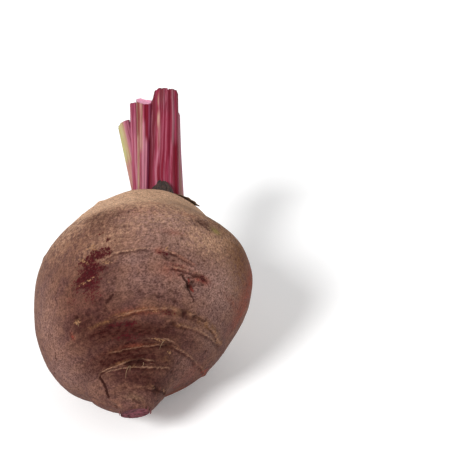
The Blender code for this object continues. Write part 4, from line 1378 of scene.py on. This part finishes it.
class BeetSkinColours(bpy.types.PropertyGroup):
    """Colours of the skin."""
    skin: tint("Skin", "Washed maroon skin", (0.106, 0.046, 0.038))
    skin_warm: tint("Warm skin", "Browner skin between the maroon", (0.150, 0.068, 0.046))
    rust: tint("Rust", "Brown mottle of the scurfy skin", (0.190, 0.092, 0.056))
    bloom: tint("Bloom", "Grey-lilac bloom over the belly", (0.265, 0.152, 0.126))
    # Deep maroon is the skin's own dark, and painted shade in and under the folds and over the lower half
    deep: tint("Deep maroon", "Dark bands under the folds", (0.027, 0.0035, 0.0025))
    bare: tint("Bare patch", "Skin scraped bare of its cork", (0.044, 0.003, 0.005))
    # Scurf and dark scurf are lighter than the cork's own tan: painted light on the top of the shoulder
    scurf: tint("Scurf", "Tan cork on the shoulder", (0.650, 0.412, 0.264))
    scurf_dark: tint("Dark scurf", "Brown cork between the tan", (0.340, 0.192, 0.120))
    blush: tint("Blush", "Reddened skin", (0.188, 0.040, 0.024))
    fold_tan: tint("Tan fold", "Corky tan on the folds", (0.150, 0.068, 0.027))
    # Pale line on each fold's lip: partly its own tan and partly a painted highlight
    fold_pale_and_highlight: tint("Pale fold", "Pale line on the folds", (0.290, 0.160, 0.105))
    green: tint("Green spot", "Greened cork", (0.200, 0.150, 0.050))
    crown: tint("Crown", "Corky crown", (0.210, 0.120, 0.075))
    crown_dark: tint("Dark crown", "Scars of the crown", (0.060, 0.030, 0.020))
    gold: tint("Splinters", "Golden splinters of cork", (0.240, 0.125, 0.062))
    red: tint("Red fleck", "Fresh red where the skin is torn", (0.210, 0.022, 0.016))
    tail_face: tint("Tail face", "Purple cut face of the tail", (0.150, 0.042, 0.055))
    tail_face_dark: tint("Dark tail face", "Darker rings of the cut face", (0.060, 0.017, 0.020))
    # Dark of cracks and pits: partly their own and partly painted shade
    dark: tint("Cracks", "Inside of cracks and pits", (0.030, 0.008, 0.006))


class BeetStalkColours(bpy.types.PropertyGroup):
    """Colours of the leaf stalks and dried remains."""
    crimson: tint("Crimson", "Body of the stalk", (0.190, 0.012, 0.032))
    pink: tint("Pink", "Pinker stretches", (0.270, 0.036, 0.072))
    deep: tint("Deep red", "Grooves", (0.145, 0.002, 0.012))
    maroon: tint("Maroon", "Brownish maroon flank", (0.100, 0.013, 0.020))
    pale: tint("Pale pink", "Crests of the ribs", (0.440, 0.172, 0.228))
    cream: tint("Cream", "Cream patches", (0.410, 0.235, 0.178))
    olive: tint("Olive tan", "Olive-tan stripes", (0.335, 0.230, 0.148))
    brown: tint("Brown", "Brown rib", (0.170, 0.068, 0.038))
    green: tint("Yellow-green", "Unreddened stripe", (0.375, 0.355, 0.150))
    grey: tint("Grey", "Greyed rib", (0.170, 0.085, 0.088))
    mauve: tint("Mauve", "Purple-pink stretches", (0.270, 0.055, 0.110))
    plum: tint("Plum", "Dark purple grooves", (0.140, 0.018, 0.050))
    cut_face: tint("Cut face", "Pale pink of the fresh cut", (0.800, 0.350, 0.490))
    dry_dark: tint("Dark dry leaf", "Dried leaf base", (0.007, 0.008, 0.010))
    dry_light: tint("Light dry leaf", "Fibres of the dried leaf base", (0.060, 0.033, 0.024))
    dry_edge: tint("Dry leaf edge", "Torn edge of the dried leaf base", (0.100, 0.060, 0.045))
    sheath_dark: tint("Dark sheath", "Papery scrap", (0.040, 0.022, 0.013))
    sheath_light: tint("Light sheath", "Fibres of the papery scrap", (0.130, 0.078, 0.045))
    sheath_edge: tint("Sheath edge", "Rim of the papery scrap", (0.260, 0.160, 0.090))
    hair: tint("Hair root", "Hair roots", (0.200, 0.116, 0.062))
    tag: tint("Torn tag", "Torn rim of the tail", (0.220, 0.045, 0.050))


class BeetStage(bpy.types.PropertyGroup):
    """Light and floor."""
    world: FloatProperty(name="Surroundings", description="Brightness of the white surroundings",
                         default=0.52, min=0.0, max=5.0)
    floor_glow: FloatProperty(name="Floor glow", description="Light that the lit floor gives by itself",
                              default=0.13, min=0.0, max=2.0)
    key: FloatProperty(name="Key light", description="Strength of the soft light from the upper left",
                       default=3.0, min=0.0, max=50.0)
    key_angle: FloatProperty(name="Key angle", description="How far the key light spreads",
                             default=radians(17), min=0.0, max=pi, subtype="ANGLE")
    fill: FloatProperty(name="Fill light", description="Strength of the weak light from the right",
                        default=0.25, min=0.0, max=50.0)
    fill_angle: FloatProperty(name="Fill angle", description="How far the fill light spreads",
                              default=radians(70), min=0.0, max=pi, subtype="ANGLE")
    floor_size: FloatProperty(name="Floor", description="Width of the floor", default=6.0,
                              min=1.0, max=20.0, unit="LENGTH")
    floor: tint("Floor colour", "Matt white floor", (0.97, 0.97, 0.97))


class BeetOperator:
    """What the beet's operators share."""
    bl_options = {"REGISTER", "UNDO"}


class BEET_OT_root_skin(BeetOperator, bpy.types.Operator):
    """Grow the skin of the root over its solid"""
    bl_idname = "beet.root_skin"
    bl_label = "Root Skin"

    def execute(self, context):
        scene = context.scene
        grid = RootGrid(scene.beet_skin.rows, scene.beet_skin.columns)
        marks = SkinMarks(grid)
        points, masks, growth = close_ends(
            grid, grid.points + grid.normal * marks.relief[..., None], marks.masks)
        finish = skin_finish(scene.beet_skin_colours)
        piece = tube_mesh("root_skin", points, masks, {"growth": growth}, finish)
        rest_on_floor(piece)
        hand_over(piece, "skin", "beet_root")
        return {"FINISHED"}


class BEET_OT_stalks(BeetOperator, bpy.types.Operator):
    """Grow the leaf stalks over their solids"""
    bl_idname = "beet.stalks"
    bl_label = "Leaf Stalks"

    def execute(self, context):
        scene = context.scene
        finish = stalk_finish(scene.beet_stalk_colours)
        for seed, (name, shape) in enumerate(STALKS.items(), start=1):
            build_stalk(name, shape, finish, scene.beet_stalks, seed)
        return {"FINISHED"}


class BEET_OT_leaf_base(BeetOperator, bpy.types.Operator):
    """Shrivel the dried leaf base in front of the right stalk"""
    bl_idname = "beet.leaf_base"
    bl_label = "Dried Leaf Base"

    def execute(self, context):
        colours = context.scene.beet_stalk_colours
        finish = dry_finish("dried_leaf", colours.dry_dark, colours.dry_light, colours.dry_edge)
        points, masks = leaf_base_points()
        piece = tube_mesh("dry_leaf_base_dressed", points, masks, {"fibre": points}, finish,
                          AXES @ stalk_pose(LEAF_BASE))
        hand_over(piece, "dry_leaf", "dry_leaf_base")
        return {"FINISHED"}


class BEET_OT_scrap(BeetOperator, bpy.types.Operator):
    """Lay the papery scrap of leaf sheath on the right shoulder"""
    bl_idname = "beet.scrap"
    bl_label = "Papery Scrap"

    def execute(self, context):
        colours = context.scene.beet_stalk_colours
        finish = dry_finish("papery_sheath", colours.sheath_dark, colours.sheath_light, colours.sheath_edge)
        hand_over(tube_mesh("dry_scrap_dressed", *scrap_points(), finish), "dry_sheath", "dry_scrap")
        return {"FINISHED"}


class BEET_OT_hairs(BeetOperator, bpy.types.Operator):
    """Add the hair roots at the folds and the torn rim of the tail"""
    bl_idname = "beet.hairs"
    bl_label = "Hair Roots"

    def execute(self, context):
        colours = context.scene.beet_stalk_colours
        hair = plain_fibre_finish("hair_root", colours.hair, colours.sheath_edge)
        hand_over(strand_piece("hair_roots", HAIRS, HAIR_RADIUS, hair), "skin")
        tag = plain_fibre_finish("torn_tag", colours.tag, colours.dry_light)
        hand_over(strand_piece("tail_tags", TAIL_TAGS, TAG_RADIUS, tag, TAG_FLATNESS), "skin")
        return {"FINISHED"}


class BEET_OT_stage(BeetOperator, bpy.types.Operator):
    """Set the white floor, the soft light and the camera"""
    bl_idname = "beet.stage"
    bl_label = "Stage"

    def execute(self, context):
        scene = context.scene
        settings = scene.beet_stage
        build_floor(settings)
        scene.world = scene.world or bpy.data.worlds.new("white_room")
        scene.world.use_nodes = True
        background = scene.world.node_tree.nodes["Background"]
        background.inputs["Color"].default_value = (1.0, 1.0, 1.0, 1.0)
        background.inputs["Strength"].default_value = settings.world
        add_sun("key_light", KEY_FROM, settings.key, settings.key_angle)
        add_sun("fill_light", FILL_FROM, settings.fill, settings.fill_angle)
        scene.camera = build_camera(scene)
        scene.view_settings.view_transform = "Standard"
        return {"FINISHED"}


class BEET_PT_panel(bpy.types.Panel):
    """Settings and pieces of the beet"""
    bl_idname = "BEET_PT_panel"
    bl_label = "Whole Red Beet"
    bl_space_type = "VIEW_3D"
    bl_region_type = "UI"
    bl_category = "Beet"

    def draw(self, context):
        layout = self.layout
        for name, group in GROUPS.items():
            box = layout.box()
            box.label(text=group.__doc__)
            settings = getattr(context.scene, name)
            for key in group.__annotations__:
                box.prop(settings, key)
        for operator in OPERATORS:
            layout.operator(operator.bl_idname)


GROUPS = {
    "beet_skin": BeetSkin,
    "beet_skin_colours": BeetSkinColours,
    "beet_stalks": BeetStalks,
    "beet_stalk_colours": BeetStalkColours,
    "beet_stage": BeetStage,
}
OPERATORS = (
    BEET_OT_root_skin,
    BEET_OT_stalks,
    BEET_OT_leaf_base,
    BEET_OT_scrap,
    BEET_OT_hairs,
    BEET_OT_stage,
)


def register():
    """Make the settings, the operators and the panel known to Blender."""
    for name, group in GROUPS.items():
        bpy.utils.register_class(group)
        setattr(bpy.types.Scene, name, PointerProperty(type=group))
    for operator in OPERATORS:
        bpy.utils.register_class(operator)
    bpy.utils.register_class(BEET_PT_panel)


def unregister():
    """Take them away again."""
    bpy.utils.unregister_class(BEET_PT_panel)
    for operator in reversed(OPERATORS):
        bpy.utils.unregister_class(operator)
    for name, group in reversed(GROUPS.items()):
        delattr(bpy.types.Scene, name)
        bpy.utils.unregister_class(group)


def main():
    """Build every piece in order."""
    register()
    bpy.ops.beet.root_skin()
    bpy.ops.beet.stalks()
    bpy.ops.beet.leaf_base()
    bpy.ops.beet.scrap()
    bpy.ops.beet.hairs()
    bpy.ops.beet.stage()


if __name__ == "__main__":
    main()
